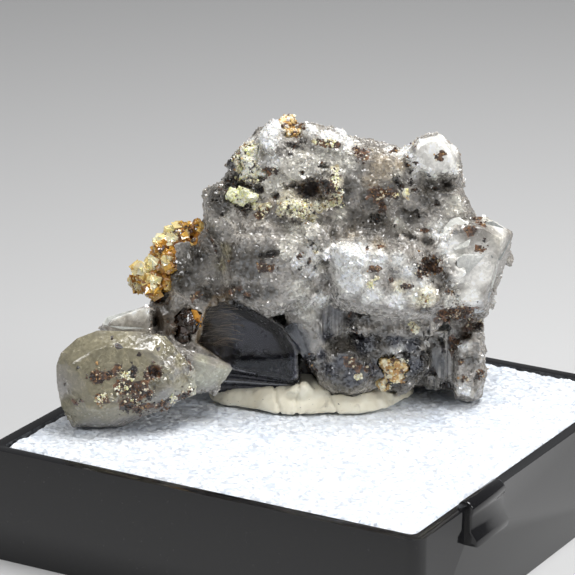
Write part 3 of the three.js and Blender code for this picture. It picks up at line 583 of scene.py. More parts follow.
class Nodes:
    """Builds one material's nodes with short calls."""

    def __init__(self, name):
        self.material = bpy.data.materials.new(name)
        self.material.use_nodes = True
        self.tree = self.material.node_tree
        self.shader = self.tree.nodes["Principled BSDF"]
        self.coordinates = self.tree.nodes.new("ShaderNodeTexCoord").outputs["Object"]

    def put(self, kind, **sockets):
        node = self.tree.nodes.new(kind)
        for name, value in sockets.items():
            self.feed(node.inputs[name.replace("_", " ")], value)
        return node

    def feed(self, socket, value):
        if isinstance(value, bpy.types.NodeSocket):
            self.tree.links.new(value, socket)
        elif isinstance(value, tuple) and len(value) == 3 and socket.type == "RGBA":
            socket.default_value = (*value, 1)
        else:
            socket.default_value = value

    def colour(self, name):
        node = self.tree.nodes.new("ShaderNodeAttribute")
        node.attribute_name = name
        return node.outputs["Color"]

    def channels(self, colour):
        split = self.put("ShaderNodeSeparateColor", Color=colour)
        return [split.outputs[i] for i in range(3)]

    def math(self, operation, a, b=0.0, clamp=False):
        node = self.tree.nodes.new("ShaderNodeMath")
        node.operation = operation
        node.use_clamp = clamp
        self.feed(node.inputs[0], a)
        self.feed(node.inputs[1], b)
        return node.outputs[0]

    def times(self, a, b):
        return self.math("MULTIPLY", a, b)

    def linear(self, factor, base, slope):
        """base + slope * factor."""
        return self.math("ADD", base, self.times(factor, slope))

    def around(self, factor, amount):
        """factor, which lies about a half, as a number that lies about 1."""
        return self.linear(self.math("SUBTRACT", factor, 0.5), 1.0, amount)

    def scaled(self, colour, factor):
        node = self.tree.nodes.new("ShaderNodeVectorMath")
        node.operation = "SCALE"
        self.feed(node.inputs[0], colour)
        self.feed(node.inputs["Scale"], factor)
        return node.outputs[0]

    def vector(self, operation, *values):
        node = self.tree.nodes.new("ShaderNodeVectorMath")
        node.operation = operation
        for socket, value in zip(node.inputs, values):
            self.feed(socket, value)
        return node.outputs[0]

    def mix(self, factor, a, b):
        node = self.tree.nodes.new("ShaderNodeMix")
        node.data_type = "RGBA"
        self.feed(node.inputs["Factor"], factor)
        self.feed(node.inputs[6], a)
        self.feed(node.inputs[7], b)
        return node.outputs[2]

    def ramp(self, factor, low, high):
        """factor stretched so that low becomes 0 and high becomes 1."""
        node = self.tree.nodes.new("ShaderNodeMapRange")
        node.interpolation_type = "SMOOTHSTEP"
        for name, value in {"Value": factor, "From Min": low, "From Max": high}.items():
            self.feed(node.inputs[name], value)
        return node.outputs[0]

    def noise(self, size_mm, detail=3.0, distortion=0.0, stretch=None):
        where = self.coordinates
        if stretch:
            where = self.put("ShaderNodeMapping", Vector=where, Scale=stretch).outputs[0]
        node = self.put("ShaderNodeTexNoise", Vector=where, Scale=1 / (size_mm * MM), Detail=detail)
        node.inputs["Distortion"].default_value = distortion
        return node.outputs["Fac"]

    def cells(self, size_mm):
        """Random cells, each with a colour of its own."""
        node = self.put("ShaderNodeTexVoronoi", Vector=self.coordinates, Scale=1 / (size_mm * MM))
        return node.outputs["Color"]

    def tilted(self, cell_colour, amount):
        """The surface normal with its own tilt in each small cell, so that facets glint."""
        normal = self.put("ShaderNodeNewGeometry").outputs["Normal"]
        shift = self.scaled(self.vector("SUBTRACT", cell_colour, (0.5, 0.5, 0.5)), amount)
        return self.vector("NORMALIZE", self.vector("ADD", shift, normal))

    def bump(self, height, depth_mm, strength=1.0, normal=None):
        node = self.put("ShaderNodeBump", Height=height, Distance=depth_mm * MM, Strength=strength)
        if normal is not None:
            self.feed(node.inputs["Normal"], normal)
        return node.outputs[0]

    def finish(self, **sockets):
        for name, value in sockets.items():
            self.feed(self.shader.inputs[name.replace("_", " ")], value)
        return self.material


STAIN_EDGE = (0.36, 0.5)
WHITEST = 0.95


def cerussite_material():
    """Cloudy grey to white crystal with glinting grains, stained brown, black and yellow in its hollows,
    with painted shade in its crevices.
    """
    n = Nodes("cerussite")
    rust, soot, lime = n.channels(n.colour("stains"))
    crevice_shade, gloss, ribs = n.channels(n.colour("surface"))
    grain = n.cells(0.17)
    facet = n.cells(0.5)
    one = n.channels(grain)[0]
    two = n.channels(facet)[1]
    wisps = n.noise(1.4, detail=6, distortion=1.2)
    grit = n.noise(0.2, detail=5)
    rough_zone = n.math("SUBTRACT", 1.0, gloss)
    shade = n.times(n.around(one, n.linear(rough_zone, 0.22, 0.33)),
                    n.around(two, n.linear(rough_zone, 0.1, 0.15)))
    shade = n.times(shade, n.around(wisps, 0.8))
    shade = n.times(shade, n.around(grit, 0.5))
    colour = n.scaled(n.colour("tone"), shade)
    streaks = n.noise(0.16, detail=4, stretch=(1, 1, 0.05))
    colour = n.mix(ribs, colour, n.scaled(colour, n.around(n.ramp(streaks, 0.3, 0.7), 1.7)))
    line = n.math("ABSOLUTE", n.math("SUBTRACT", n.noise(1.1, detail=2, distortion=0.8), 0.5))
    colour = n.mix(n.times(n.ramp(line, 0.02, 0.0), 0.35), colour, n.scaled(colour, 1.8))
    # Painted shade in the crevices: darker the deeper the surface lies below its smoothed neighbours
    colour = n.mix(n.times(crevice_shade, 0.4), colour, n.scaled(colour, 0.4))
    ragged = n.around(grit, 1.5)
    for mask, light, dark, size in ((lime, (0.90, 0.86, 0.68), (0.62, 0.52, 0.30), 0.3),
                                    (rust, (0.20, 0.085, 0.025), (0.03, 0.014, 0.008), 0.28),
                                    (soot, (0.03, 0.016, 0.01), (0.006, 0.005, 0.004), 0.3)):
        edge = n.ramp(n.times(mask, ragged), *STAIN_EDGE)
        tone = n.mix(n.ramp(n.noise(size, detail=4), 0.4, 0.62), dark, light)
        colour = n.mix(edge, colour, tone)
    colour = n.vector("MINIMUM", colour, (WHITEST, WHITEST, WHITEST))
    stained = n.ramp(n.times(n.math("MAXIMUM", rust, soot), ragged), *STAIN_EDGE)
    rough = n.linear(one, 0.1, 0.18)
    rough = n.math("ADD", rough, n.times(stained, 0.35), clamp=True)
    tilt = n.tilted(grain, n.linear(rough_zone, 0.14, 0.7))
    return n.finish(
        Base_Color=colour, Roughness=rough, IOR=1.9, Subsurface_Weight=0.6, Subsurface_Scale=0.25 * MM,
        Subsurface_Radius=(1.0, 0.97, 0.9), Normal=n.bump(grit, 0.03, 0.6, tilt),
    )


def grain_material(name, roughness, ior, scatter=0.3, contrast=0.6):
    """Small crystals and grains, each with a tint of its own."""
    n = Nodes(name)
    speckle = n.noise(0.14, detail=4)
    colour = n.scaled(n.colour("tint"), n.around(speckle, contrast))
    return n.finish(
        Base_Color=colour, Roughness=roughness, IOR=ior, Subsurface_Weight=scatter,
        Subsurface_Scale=0.12 * MM, Subsurface_Radius=(1.0, 0.8, 0.6), Normal=n.bump(speckle, 0.015, 0.5),
    )


# The crystal mass

BLOCK_COUNT = 1100
SUGAR_COUNT = 15500
MASS_VOXEL = 0.1
MASS_TRIANGLES = 190_000
MASS_SINK = 0.03
ABOVE_FOAM = 0.02
POCKET_MOUTH = 1.5
POCKET_TAPER = 0.8
SHARD = (np.array([[-1, -0.8, -1], [1, -0.8, -1], [1, 0.8, -1], [-1, 0.8, -1],
                   [-0.55, -0.5, 0.8], [0.6, -0.4, 1], [0.5, 0.5, 0.75], [-0.6, 0.4, 0.95]]),
         [(3, 2, 1, 0), (4, 5, 6, 7), (0, 1, 5, 4), (1, 2, 6, 5), (2, 3, 7, 6), (3, 0, 4, 7)])


def surface_samples(obj, count, weight, random):
    """Random points on obj with their outward directions, as dense as weight says."""
    mesh = obj.data
    points = coords(mesh)
    mesh.calc_loop_triangles()
    flat = np.empty(len(mesh.loop_triangles) * 3, dtype=np.int64)
    mesh.loop_triangles.foreach_get("vertices", flat)
    a, b, c = points[flat.reshape(-1, 3).T]
    cross = np.cross(b - a, c - a)
    area = np.linalg.norm(cross, axis=1)
    share = area * weight((a + b + c) / 3)
    pick = random.choice(len(area), count, p=share / share.sum())
    s, t = random.random((2, count))
    s, t = np.where(s + t > 1, [1 - s, 1 - t], [s, t])
    spots = a[pick] + (b - a)[pick] * s[:, None] + (c - a)[pick] * t[:, None]
    return spots, cross[pick] / area[pick][:, None]


def random_turns(directions, lean, random):
    """Rotation matrices that send +Z to each direction, leaning by up to about lean radians."""
    up = directions + lean * random.normal(size=directions.shape)
    up /= np.linalg.norm(up, axis=1)[:, None]
    side = np.cross(up, random.normal(size=up.shape))
    side /= np.linalg.norm(side, axis=1)[:, None]
    return np.stack([side, np.cross(up, side), up], 2)


def many(shape, spots, turns, sizes, random, jitter=0.12):
    """Points and faces of many small crystals; sizes gives each one's half lengths along its own axes."""
    corners, faces = shape
    count, k = len(spots), len(corners)
    local = corners[None] * (1 + jitter * random.normal(size=(count, k, 3)))
    points = np.einsum("nij,nkj->nki", turns, local * sizes[:, None, :]) + spots[:, None, :]
    return points.reshape(-1, 3), [tuple(i * k + v for v in face) for i in range(count) for face in faces]


def joined_crystals(name, shape, spots, turns, sizes, tints, random, jitter=0.12):
    points, faces = many(shape, spots, turns, sizes, random, jitter)
    obj = new_object(name, points, faces)
    attribute(obj.data, "tint", np.repeat(tints, len(shape[0]), 0))
    return obj


def add_shapes(obj, points, faces):
    """obj with more closed shapes in its mesh."""
    start = len(obj.data.vertices)
    all_points = np.concatenate([coords(obj.data), points])
    all_faces = [tuple(f.vertices) for f in obj.data.polygons]
    all_faces += [tuple(v + start for v in face) for face in faces]
    mesh = bpy.data.meshes.new(obj.name)
    mesh.from_pydata(all_points, [], all_faces)
    obj.data = mesh


def face_ring(outline, depth, scale, lean, centre):
    ring = []
    for a, b in outline:
        da, db = (a - centre[0]) * scale, (b - centre[1]) * scale
        ring.append(seen(centre[0] + da, centre[1] + db, depth + lean[0] * da + lean[1] * db))
    return ring


def clearance(finder, point):
    """How far point is outside a closed surface, below 0 inside it."""
    nearest, normal, _, distance = finder.find_nearest(Vector(point))
    return math.copysign(distance, (Vector(point) - nearest).dot(normal))


def bridging_blocks(obj, random):
    """Crystals along the seams between the main blocks."""
    finder = surface_finder(obj)
    spots, outs, sizes = [], [], []
    for u1, v1, u2, v2, radius in BRIDGES:
        for share in np.arange(0, 1, 2.5 / math.dist((u1, v1), (u2, v2))):
            along = np.array([u1, v1]) + share * np.array([u2 - u1, v2 - v1])
            found = under_pixel(finder, *(along + 0.4 * radius * random.normal(size=2)))
            if found:
                spots.append(found[0])
                outs.append(found[1])
                sizes.append(radius / PIXELS_PER_MM * random.uniform(0.5, 1.1, 3))
    return many(SHARD, np.array(spots), random_turns(np.array(outs), 0.6, random), np.array(sizes), random)


def grown_blocks(obj, smooth, pocket, random):
    """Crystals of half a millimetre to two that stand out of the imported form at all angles."""
    count = BLOCK_COUNT
    spots, out = surface_samples(
        obj, count, lambda p: (1 - coverage(p * DEPTH_SHARE, smooth, 1)) * (p[:, 2] > 0.5), random)
    crest = smooth_step(spots[:, 2], 10, 14)
    size = (0.28 + 0.62 * random.random(count) ** 2) * (1 - 0.3 * crest)
    sizes = size[:, None] * random.uniform([0.6, 0.45, 0.5], [1.1, 0.8, 0.95], (count, 3))
    finder = surface_finder(pocket)
    room = np.array([clearance(finder, spot) for spot in spots])
    keep = room > 1.1 * size
    return many(SHARD, (spots - 0.5 * size[:, None] * out)[keep], random_turns(out[keep], 0.45, random),
                sizes[keep], random)


def cerussite_mass():
    """The grown-together crystals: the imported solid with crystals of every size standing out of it."""
    obj = copy_of("cerussite")
    obj.name = "cerussite_mass"
    smooth = flattened(laid_on(surface_finder(obj), SMOOTH_FACES))
    mouth = face_ring(CLEAR_FACE, CLEAR_FRONT - POCKET_MOUTH, 1, CLEAR_LEAN, CLEAR_CENTRE)
    end = face_ring(CLEAR_FACE, CLEAR_BACK, POCKET_TAPER, (0, 0), CLEAR_CENTRE)
    pocket = hull_object("pocket", mouth + end)
    random = np.random.default_rng(5)
    blocks = grown_blocks(obj, smooth, pocket, random)
    bridges = bridging_blocks(obj, random)
    cut(obj, pocket)
    add_shapes(obj, *blocks)
    add_shapes(obj, *bridges)
    remesh(obj, MASS_VOXEL)
    mesh = obj.data
    places = Places(obj)
    base = coords(mesh)
    rough = 1 - 0.96 * places.smoothness(base)
    bright = places.tone(base).mean(1)
    relief = 0.07 * blocky(base, 0.95, 23) + (0.04 + 0.09 * bright) * blocky(base, 0.42, 37)
    relief += 0.02 * noise(base, 0.22, 41)
    ribs = places.ribs(base)
    upright = base * [1, 1, 0.04]
    relief = relief * rough * (1 - 0.8 * ribs) - 0.3 * rough * places.stain(base, "soot")
    relief += ribs * (0.12 * noise(upright, 0.5, 43) + 0.06 * noise(upright, 0.25, 44))
    moved = base + vertex_normals(mesh) * (relief - MASS_SINK)[:, None]
    moved[:, 2] = np.maximum(moved[:, 2], ABOVE_FOAM)
    set_coords(mesh, moved)
    thin_out(obj, MASS_TRIANGLES)
    mesh = obj.data
    points, edges = coords(mesh), edge_pairs(mesh)
    depth = ((points - relaxed(points, edges, 8)) * vertex_normals(mesh)).sum(1)
    attribute(mesh, "tone", places.tone(points))
    stains = [places.stain(points, kind) for kind in ("rust", "soot", "lime")]
    attribute(mesh, "stains", np.stack(stains, 1))
    # The surface colour's first channel is how deep each point lies below its smoothed neighbours; the
    # material paints shade into these crevices
    attribute(mesh, "surface", np.stack([smooth_step(-depth, 0.0, 0.09), places.smoothness(points),
                                         places.ribs(points)], 1))
    mesh.shade_flat()
    return obj, places


def sugar(mass, places):
    """Small bright crystals all over the rough faces, most on the white ones."""
    random = np.random.default_rng(71)
    count = SUGAR_COUNT

    def share(points):
        stained = np.max([places.stain(points, kind) for kind in STAINS], 0)
        clear = (1 - places.smoothness(points)) * (1 - stained) ** 2 * (points[:, 2] > 0.4)
        for outline in (CLEAR_FACE, BLUNT_PRISM, SHADOWED_GAP):
            clear = clear * ((outside_by(points, outline) > 0.15) | (points[:, 1] > CLEAR_BACK + 1))
        return clear * (0.1 + places.tone(points).mean(1))

    spots, out = surface_samples(mass, count, share, random)
    tone = places.tone(spots)
    size = 0.05 + (0.05 + 0.12 * tone.mean(1)) * random.random(count) ** 1.6
    sizes = size[:, None] * random.uniform([0.7, 0.6, 0.7], [1.2, 1, 1.2], (count, 3))
    tints = np.clip(tone * random.uniform(0.8, 1.5, count)[:, None] + 0.02, 0, WHITEST)
    obj = joined_crystals("sugar_crystals", SHARD, spots - 0.4 * size[:, None] * out,
                          random_turns(out, 0.7, random), sizes, tints, random)
    place(obj, "cerussite", grain_material("sugar", 0.08, 2.0, 0.4, 0.3))


# Clean flat facets: each one's outline in pixels, clockwise, and its colour. The four of the right-hand
# block are one white crystal, and their greys differ by painted light and shade, darkest on facet_right and
# facet_low.
FACETS = {
    "facet_square": ([(456, 259), (463, 254), (498, 253), (497, 270), (492, 288), (457, 290)],
                     (0.60, 0.60, 0.57)),
    "facet_upper": ([(441, 240), (444, 228), (451, 219), (459, 217), (468, 223), (473, 233), (469, 247),
                     (455, 251)], (0.68, 0.68, 0.64)),
    "facet_right": ([(482, 223), (492, 221), (511, 233), (509, 243), (500, 261), (491, 258),
                     (485, 243)], (0.27, 0.28, 0.27)),
    "facet_low": ([(472, 293), (491, 291), (484, 311), (474, 313)], (0.33, 0.34, 0.34)),
    "facet_wedge": ([(101, 325), (107, 317), (128, 311), (149, 306), (151, 320), (147, 329),
                     (122, 330)], (0.52, 0.53, 0.50)),
}
FACET_LIFT = 0.1
FACET_DEPTH = 0.6


def flat_facets(places, material):
    """Plates set into the mass, each in the plane through the surface seen at its corners."""
    for name, (outline, colour) in FACETS.items():
        found = [under_pixel(places.finder, u, v) for u, v in outline]
        corners = np.array([spot[0] for spot in found if spot])
        middle = corners.mean(0)
        normal = np.linalg.svd(corners - middle)[2][2]
        normal *= math.copysign(1, normal @ EYE_BACK)
        rays = np.array([ray_through(*picture_plane(u, v)) for u, v in outline])
        front = EYE + rays * (((middle - EYE) @ normal) / (rays @ normal))[:, None] + FACET_LIFT * normal
        back = middle + 0.85 * (front - middle) - FACET_DEPTH * normal
        obj = hull_object(name, np.concatenate([front, back]))
        bevelled(obj, 0.06, 2)
        count = len(obj.data.vertices)
        attribute(obj.data, "tone", np.tile(colour, (count, 1)))
        attribute(obj.data, "stains", np.zeros((count, 3)))
        attribute(obj.data, "surface", np.tile([0.0, 1.0, 0.0], (count, 1)))
        place(obj, "cerussite", material)


# Clear crystal set in its pocket

def clear_material():
    n = Nodes("clear_crystal")
    veil = n.noise(0.8, detail=5, distortion=2, stretch=(0.35, 1, 1.6))
    n.finish(
        Base_Color=(0.95, 0.95, 0.97), Roughness=0.03, IOR=1.45, Transmission_Weight=1.0,
        Normal=n.bump(veil, 0.01, 0.2),
    )
    inside = n.put("ShaderNodeVolumeAbsorption")
    inside.inputs["Color"].default_value = (0.45, 0.46, 0.55, 1)
    inside.inputs["Density"].default_value = 320
    n.tree.links.new(inside.outputs[0], n.tree.nodes["Material Output"].inputs["Volume"])
    return n.material


def clear_crystals():
    material = clear_material()
    pieces = {
        "clear_crystal": face_ring(CLEAR_FACE, CLEAR_FRONT, 1.01, CLEAR_LEAN, CLEAR_CENTRE)
        + face_ring(CLEAR_FACE, CLEAR_BACK + 0.3, 0.84, (0, 0), CLEAR_CENTRE),
        "blunt_prism": face_ring(BLUNT_PRISM, 0.35, 1, (0.25, -0.1), (0.8, -3.4))
        + face_ring(BLUNT_PRISM, 1.6, 0.9, (0, 0), (0.8, -3.4)),
    }
    for name, ring in pieces.items():
        obj = hull_object(name, ring)
        bevelled(obj, 0.05, 2)
        place(obj, "cerussite", material)


def fibres():
    """Fine curved fibres inside the brown end of the clear crystal."""
    random = np.random.default_rng(35)
    count, steps = 90, 9
    t = np.linspace(0, 1, steps)[:, None]
    ring = 2 * math.pi * np.arange(3) / 3
    points, faces = [], []
    for i in range(count):
        start = np.array(picture_plane(random.uniform(196, 222), random.uniform(300, 346)))
        reach = random.uniform(0.6, 1.7)
        end = start + reach * np.array([1, random.uniform(-0.1, 0.25)])
        bow = (start + end) / 2 + np.array([0, random.uniform(0.1, 0.3)]) * reach
        line = (1 - t) ** 2 * start + 2 * t * (1 - t) * bow + t ** 2 * end
        deep = random.uniform(0.2, 1.2)
        radius = random.uniform(0.008, 0.018)
        lean = (line - CLEAR_CENTRE) @ CLEAR_LEAN
        for (a, b), tilt in zip(line, lean):
            middle = seen(a, b, CLEAR_FRONT + tilt + deep)
            points += [middle + radius * np.array([0, math.cos(w), math.sin(w)]) for w in ring]
        first = 3 * steps * i
        for j in range(first, first + 3 * steps - 3, 3):
            faces += [(j + k, j + (k + 1) % 3, j + 3 + (k + 1) % 3, j + 3 + k) for k in range(3)]
        faces += [(first + 2, first + 1, first), tuple(first + 3 * steps - 3 + k for k in range(3))]
    obj = new_object("clear_crystal_fibres", np.array(points), faces)
    shades = np.array([0.50, 0.38, 0.24]) * random.uniform(0.4, 1.4, (count, 1))
    attribute(obj.data, "tint", np.repeat(shades, 3 * steps, 0))
    place(obj, "cerussite", grain_material("fibres", 0.3, 1.6, 0.0, 0.3))


# Ribbed crystal faces

def ribbed_material(name, colour):
    n = Nodes(name)
    smoke = n.noise(0.7, detail=5, distortion=1)
    rub = n.noise(0.12, detail=3)
    tone = n.mix(n.ramp(smoke, 0.35, 0.7), colour, tuple(2.2 * c for c in colour))
    tone = n.scaled(tone, n.around(rub, 0.8))
    return n.finish(Base_Color=tone, Roughness=0.16, IOR=2.0, Normal=n.bump(rub, 0.01, 0.4))


def ribbed_face(name, corners, ribs, height, material, seed):
    """A closed slab whose front carries parallel ribs; corners are (u, v, depth) round the front."""
    random = np.random.default_rng(seed)
    top_left, top_right, low_right, low_left = [seen(*picture_plane(u, v), y) for u, v, y in corners]
    across, along = 8 * ribs, 40
    s = np.linspace(0, 1, along)[None, :, None]
    t = np.linspace(0, 1, across)[:, None, None]
    front = (1 - t) * ((1 - s) * top_left + s * top_right) + t * ((1 - s) * low_left + s * low_right)
    out = np.cross(low_left - top_left, top_right - top_left)
    out /= np.linalg.norm(out)
    if out @ EYE_BACK < 0:
        out = -out
    edges = np.sort(random.random(ribs - 1))
    edges = np.concatenate([[0], 0.5 * edges + 0.5 * np.arange(1, ribs) / ribs, [1]])
    t_flat = t[:, 0, 0]
    rib = np.clip(np.searchsorted(edges, t_flat, side="right") - 1, 0, ribs - 1)
    share = (t_flat - edges[rib]) / (edges[rib + 1] - edges[rib])
    peak = random.uniform(0.25, 0.75, ribs)[rib]
    profile = np.where(share < peak, share / peak, (1 - share) / (1 - peak))
    lift = height * random.uniform(0.4, 1, ribs)[rib] * profile
    lift += height * random.uniform(-0.4, 0.4, ribs)[rib]
    wave = 0.5 * height * layered(front.reshape(-1, 3), 1.2, seed, 3).reshape(across, along)
    points = front + (lift[:, None] + wave)[..., None] * out
    back = front - 0.5 * out
    grid = np.arange(across * along).reshape(across, along)
    faces = [(grid[i, j], grid[i, j + 1], grid[i + 1, j + 1], grid[i + 1, j])
             for i in range(across - 1) for j in range(along - 1)]
    count = across * along
    faces += [tuple(v + count for v in reversed(face)) for face in faces]
    rim = list(grid[0, :]) + list(grid[1:, -1]) + list(grid[-1, -2::-1]) + list(grid[-2:0:-1, 0])
    faces += [(b, a, a + count, b + count) for a, b in zip(rim, rim[1:] + rim[:1])]
    obj = new_object(name, np.concatenate([points.reshape(-1, 3), back.reshape(-1, 3)]), faces)
    with edited(obj.data) as work:
        bmesh.ops.recalc_face_normals(work, faces=work.faces)
    place(obj, "cerussite", material)


def ribbed_foot():
    """The dark crystal under the clear one."""
    corners = [(224, 368, 1.5), (299, 381, 0.8), (288, 389, 1.7), (211, 393, 2.2)]
    ribbed_face("ribbed_foot", corners, 14, 0.12, ribbed_material("ribbed_dark", (0.03, 0.03, 0.036)), 31)


# Stolzite and the crusts

def grain_shape():
    work = bmesh.new()
    bmesh.ops.create_icosphere(work, subdivisions=1, radius=1)
    shape = np.array([v.co[:] for v in work.verts]), [tuple(v.index for v in f.verts) for f in work.faces]
    work.free()
    return shape


GRAIN = grain_shape()

# Tints as colours with how often each comes
RUSTS = [((0.03, 0.014, 0.008), 8), ((0.07, 0.03, 0.013), 6), ((0.17, 0.075, 0.025), 3),
         ((0.36, 0.21, 0.08), 2), ((0.66, 0.58, 0.42), 3)]
SOOTS = [((0.008, 0.006, 0.005), 6), ((0.03, 0.015, 0.008), 4), ((0.10, 0.04, 0.012), 2)]
LIMES = [((0.95, 0.90, 0.70), 10), ((0.92, 0.88, 0.52), 5), ((0.84, 0.80, 0.36), 2),
         ((0.56, 0.43, 0.25), 2), ((0.36, 0.2, 0.07), 1), ((0.03, 0.015, 0.008), 2)]
CREAMS = [((0.97, 0.93, 0.80), 10), ((0.95, 0.90, 0.64), 4), ((0.70, 0.52, 0.28), 1),
          ((0.03, 0.015, 0.008), 2)]
YELLOWS = [((0.93, 0.89, 0.34), 6), ((0.95, 0.92, 0.60), 4)]
GREENS = [((0.90, 0.88, 0.54), 7), ((0.80, 0.80, 0.36), 4), ((0.93, 0.91, 0.72), 4),
          ((0.10, 0.06, 0.02), 1)]
GOLDS = [((0.78, 0.44, 0.08), 7), ((0.60, 0.29, 0.04), 5), ((0.90, 0.66, 0.26), 4), ((0.30, 0.12, 0.02), 2)]
# Cream tints for the painted highlights on the stolzite crystals
GOLD_HIGHLIGHT_TINTS = [((0.97, 0.87, 0.58), 4), ((0.95, 0.76, 0.36), 3)]
GOLD_DARKS = [((0.10, 0.035, 0.008), 4), ((0.22, 0.08, 0.015), 3), ((0.05, 0.018, 0.006), 3)]
# Tints of the stolzite's core under its crystals: its amber-brown, mostly darker than the crystals as
# painted shade in the gaps between them
GOLD_CORES_AND_SHADE = [((0.30, 0.13, 0.03), 4), ((0.10, 0.04, 0.01), 3), ((0.55, 0.32, 0.09), 2)]
AMBERS = [((0.016, 0.009, 0.006), 8), ((0.05, 0.02, 0.008), 4)]
ORANGES = [((0.72, 0.34, 0.05), 4), ((0.45, 0.17, 0.02), 2)]

# Blotches on single pieces, as spots and streaks like the stains. The first list is no blotch but painted
# highlights: there the stolzite crystals take cream tints for light glancing off them.
GOLD_PAINTED_HIGHLIGHTS = [
    (172, 232, 10), (158, 238, 8), (150, 262, 11), (140, 270, 8), (165, 262, 8), (136, 286, 7),
    (155, 280, 8), (185, 222, 8), (192, 240, 5)]
GOLD_BLOTCHES = [
    (190, 228, 5), (183, 233, 177, 250, 3), (172, 290, 4), (160, 299, 5), (168, 284, 3), (133, 262, 3),
    (196, 226, 4), (150, 300, 170, 293, 4), (180, 243, 160, 250, 2.5), (178, 270, 174, 282, 2)]
AMBER_ARC = [(184, 308, 195, 311, 7), (196, 312, 200, 322, 7)]
TUFT_YELLOW = [(250, 150, 6)]
CRUSTS = [((0.70, 0.50, 0.20), 5), ((0.50, 0.27, 0.07), 4), ((0.85, 0.78, 0.58), 5),
          ((0.08, 0.03, 0.01), 3)]


def picked(palette, count, random):
    colours, shares = zip(*palette)
    shares = np.array(shares) / sum(shares)
    choice = random.choice(len(colours), count, p=shares)
    return np.array(colours)[choice] * random.uniform(0.8, 1.2, (count, 1))


def stain_grains(kind, palette, per_area, size, places, material, seed):
    """Grains heaped in every stain of a kind, on the surface that the stain is seen on."""
    random = np.random.default_rng(seed)
    spots, outs = [], []
    for mark in STAINS[kind]:
        radius = mark[-1]
        length = math.dist(mark[:2], mark[-3:-1])
        for _ in range(int(per_area * (math.pi * radius ** 2 + 2 * radius * length)) + 2):
            share = random.random()
            u = mark[0] + share * (mark[-3] - mark[0]) + random.normal() * radius * 0.55
            v = mark[1] + share * (mark[-2] - mark[1]) + random.normal() * radius * 0.55
            found = under_pixel(places.finder, u, v)
            if found:
                spots.append(found[0])
                outs.append(found[1])
    spots, outs = np.array(spots), np.array(outs)
    each = size[0] + (size[1] - size[0]) * random.random(len(spots)) ** 2
    sizes = each[:, None] * random.uniform(0.7, 1.2, (len(spots), 3))
    turns = random_turns(outs, 1, random)
    obj = joined_crystals(kind + "_grains", GRAIN, spots + 0.1 * each[:, None] * outs, turns, sizes,
                          picked(palette, len(spots), random), random, 0.2)
    place(obj, "green_crust" if kind == "lime" else "stolzite_crust", material)


def crystal_group(node, name, slot, material, palette, count, size, shape, seed, under=None,
                  blotches_and_highlights=()):
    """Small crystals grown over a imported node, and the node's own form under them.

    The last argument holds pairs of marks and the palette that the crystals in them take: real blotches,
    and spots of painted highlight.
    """
    random = np.random.default_rng(seed)
    core = copy_of(node)
    remesh(core, 0.1)
    base = coords(core.data)
    height = 0.1 * (blocky(base, 0.7, seed) + 0.5 * blocky(base, 0.35, seed + 9)) - 0.04
    set_coords(core.data, base + vertex_normals(core.data) * height[:, None])
    core.data.shade_flat()
    cell = np.floor(base / 0.35)
    under = under or palette
    shares = np.cumsum([share for _, share in under]) / sum(share for _, share in under)
    colours = np.array([colour for colour, _ in under])
    attribute(core.data, "tint", colours[np.searchsorted(shares, hashed(cell, seed))])
    spots, out = surface_samples(core, count, lambda p: np.ones(len(p)), random)
    each = size[0] + (size[1] - size[0]) * random.random(count) ** 2
    sizes = each[:, None] * random.uniform(0.75, 1.2, (count, 3))
    turns = random_turns(out, 0.9, random)
    tints = picked(palette, count, random)
    finder = surface_finder(core)
    for marks, other in blotches_and_highlights:
        inside = coverage(spots, laid_on(finder, marks), 1, 0.9, 1) > random.random(count)
        tints[inside] = picked(other, count, random)[inside]
    crystals = joined_crystals(name, shape, spots - 0.35 * each[:, None] * out, turns, sizes,
                               np.clip(tints, 0, 0.97), random)
    core.name = name + "_core"
    place(core, slot, material, node)
    place(crystals, slot, material)


def stolzite_and_crusts(places):
    gold = grain_material("stolzite", 0.06, 2.2, 0.4, 0.9)
    crystal_group("stolzite_cluster", "stolzite_crystals", "stolzite", gold, GOLDS, 1000, (0.09, 0.34),
                  SHARD, 81, GOLD_CORES_AND_SHADE, [(GOLD_PAINTED_HIGHLIGHTS, GOLD_HIGHLIGHT_TINTS), (GOLD_BLOTCHES, GOLD_DARKS)])
    amber = grain_material("amber_crystal", 0.05, 2.0, 0.1, 0.5)
    crystal_group("amber_stolzite_crystal", "amber_facets", "amber_crystal", amber, AMBERS, 90, (0.1, 0.3),
                  SHARD, 82, None, [(AMBER_ARC, ORANGES)])
    crust = grain_material("stolzite_crust", 0.3, 1.8, 0.2, 0.9)
    for seed, node in enumerate(["stolzite_crust_low", "stolzite_crust_top"], 83):
        crystal_group(node, node + "_grains", "stolzite_crust", crust, CRUSTS, 420, (0.05, 0.15), GRAIN,
                      seed)
    lime = grain_material("green_crust", 0.3, 1.8, 0.4, 0.8)
    crystal_group("pyromorphite_tuft_high", "tuft_high_grains", "green_crust", lime, CREAMS, 900,
                  (0.04, 0.13), GRAIN, 85, None, [(TUFT_YELLOW, YELLOWS)])
    crystal_group("pyromorphite_tuft_low", "tuft_low_grains", "green_crust", lime, GREENS, 620,
                  (0.04, 0.13), GRAIN, 86)
    stain_grains("rust", RUSTS, 0.24, (0.03, 0.11), places, crust, 91)
    stain_grains("soot", SOOTS, 0.14, (0.03, 0.1), places, crust, 92)
    stain_grains("lime", LIMES, 0.45, (0.03, 0.11), places, lime, 93)


# Putty

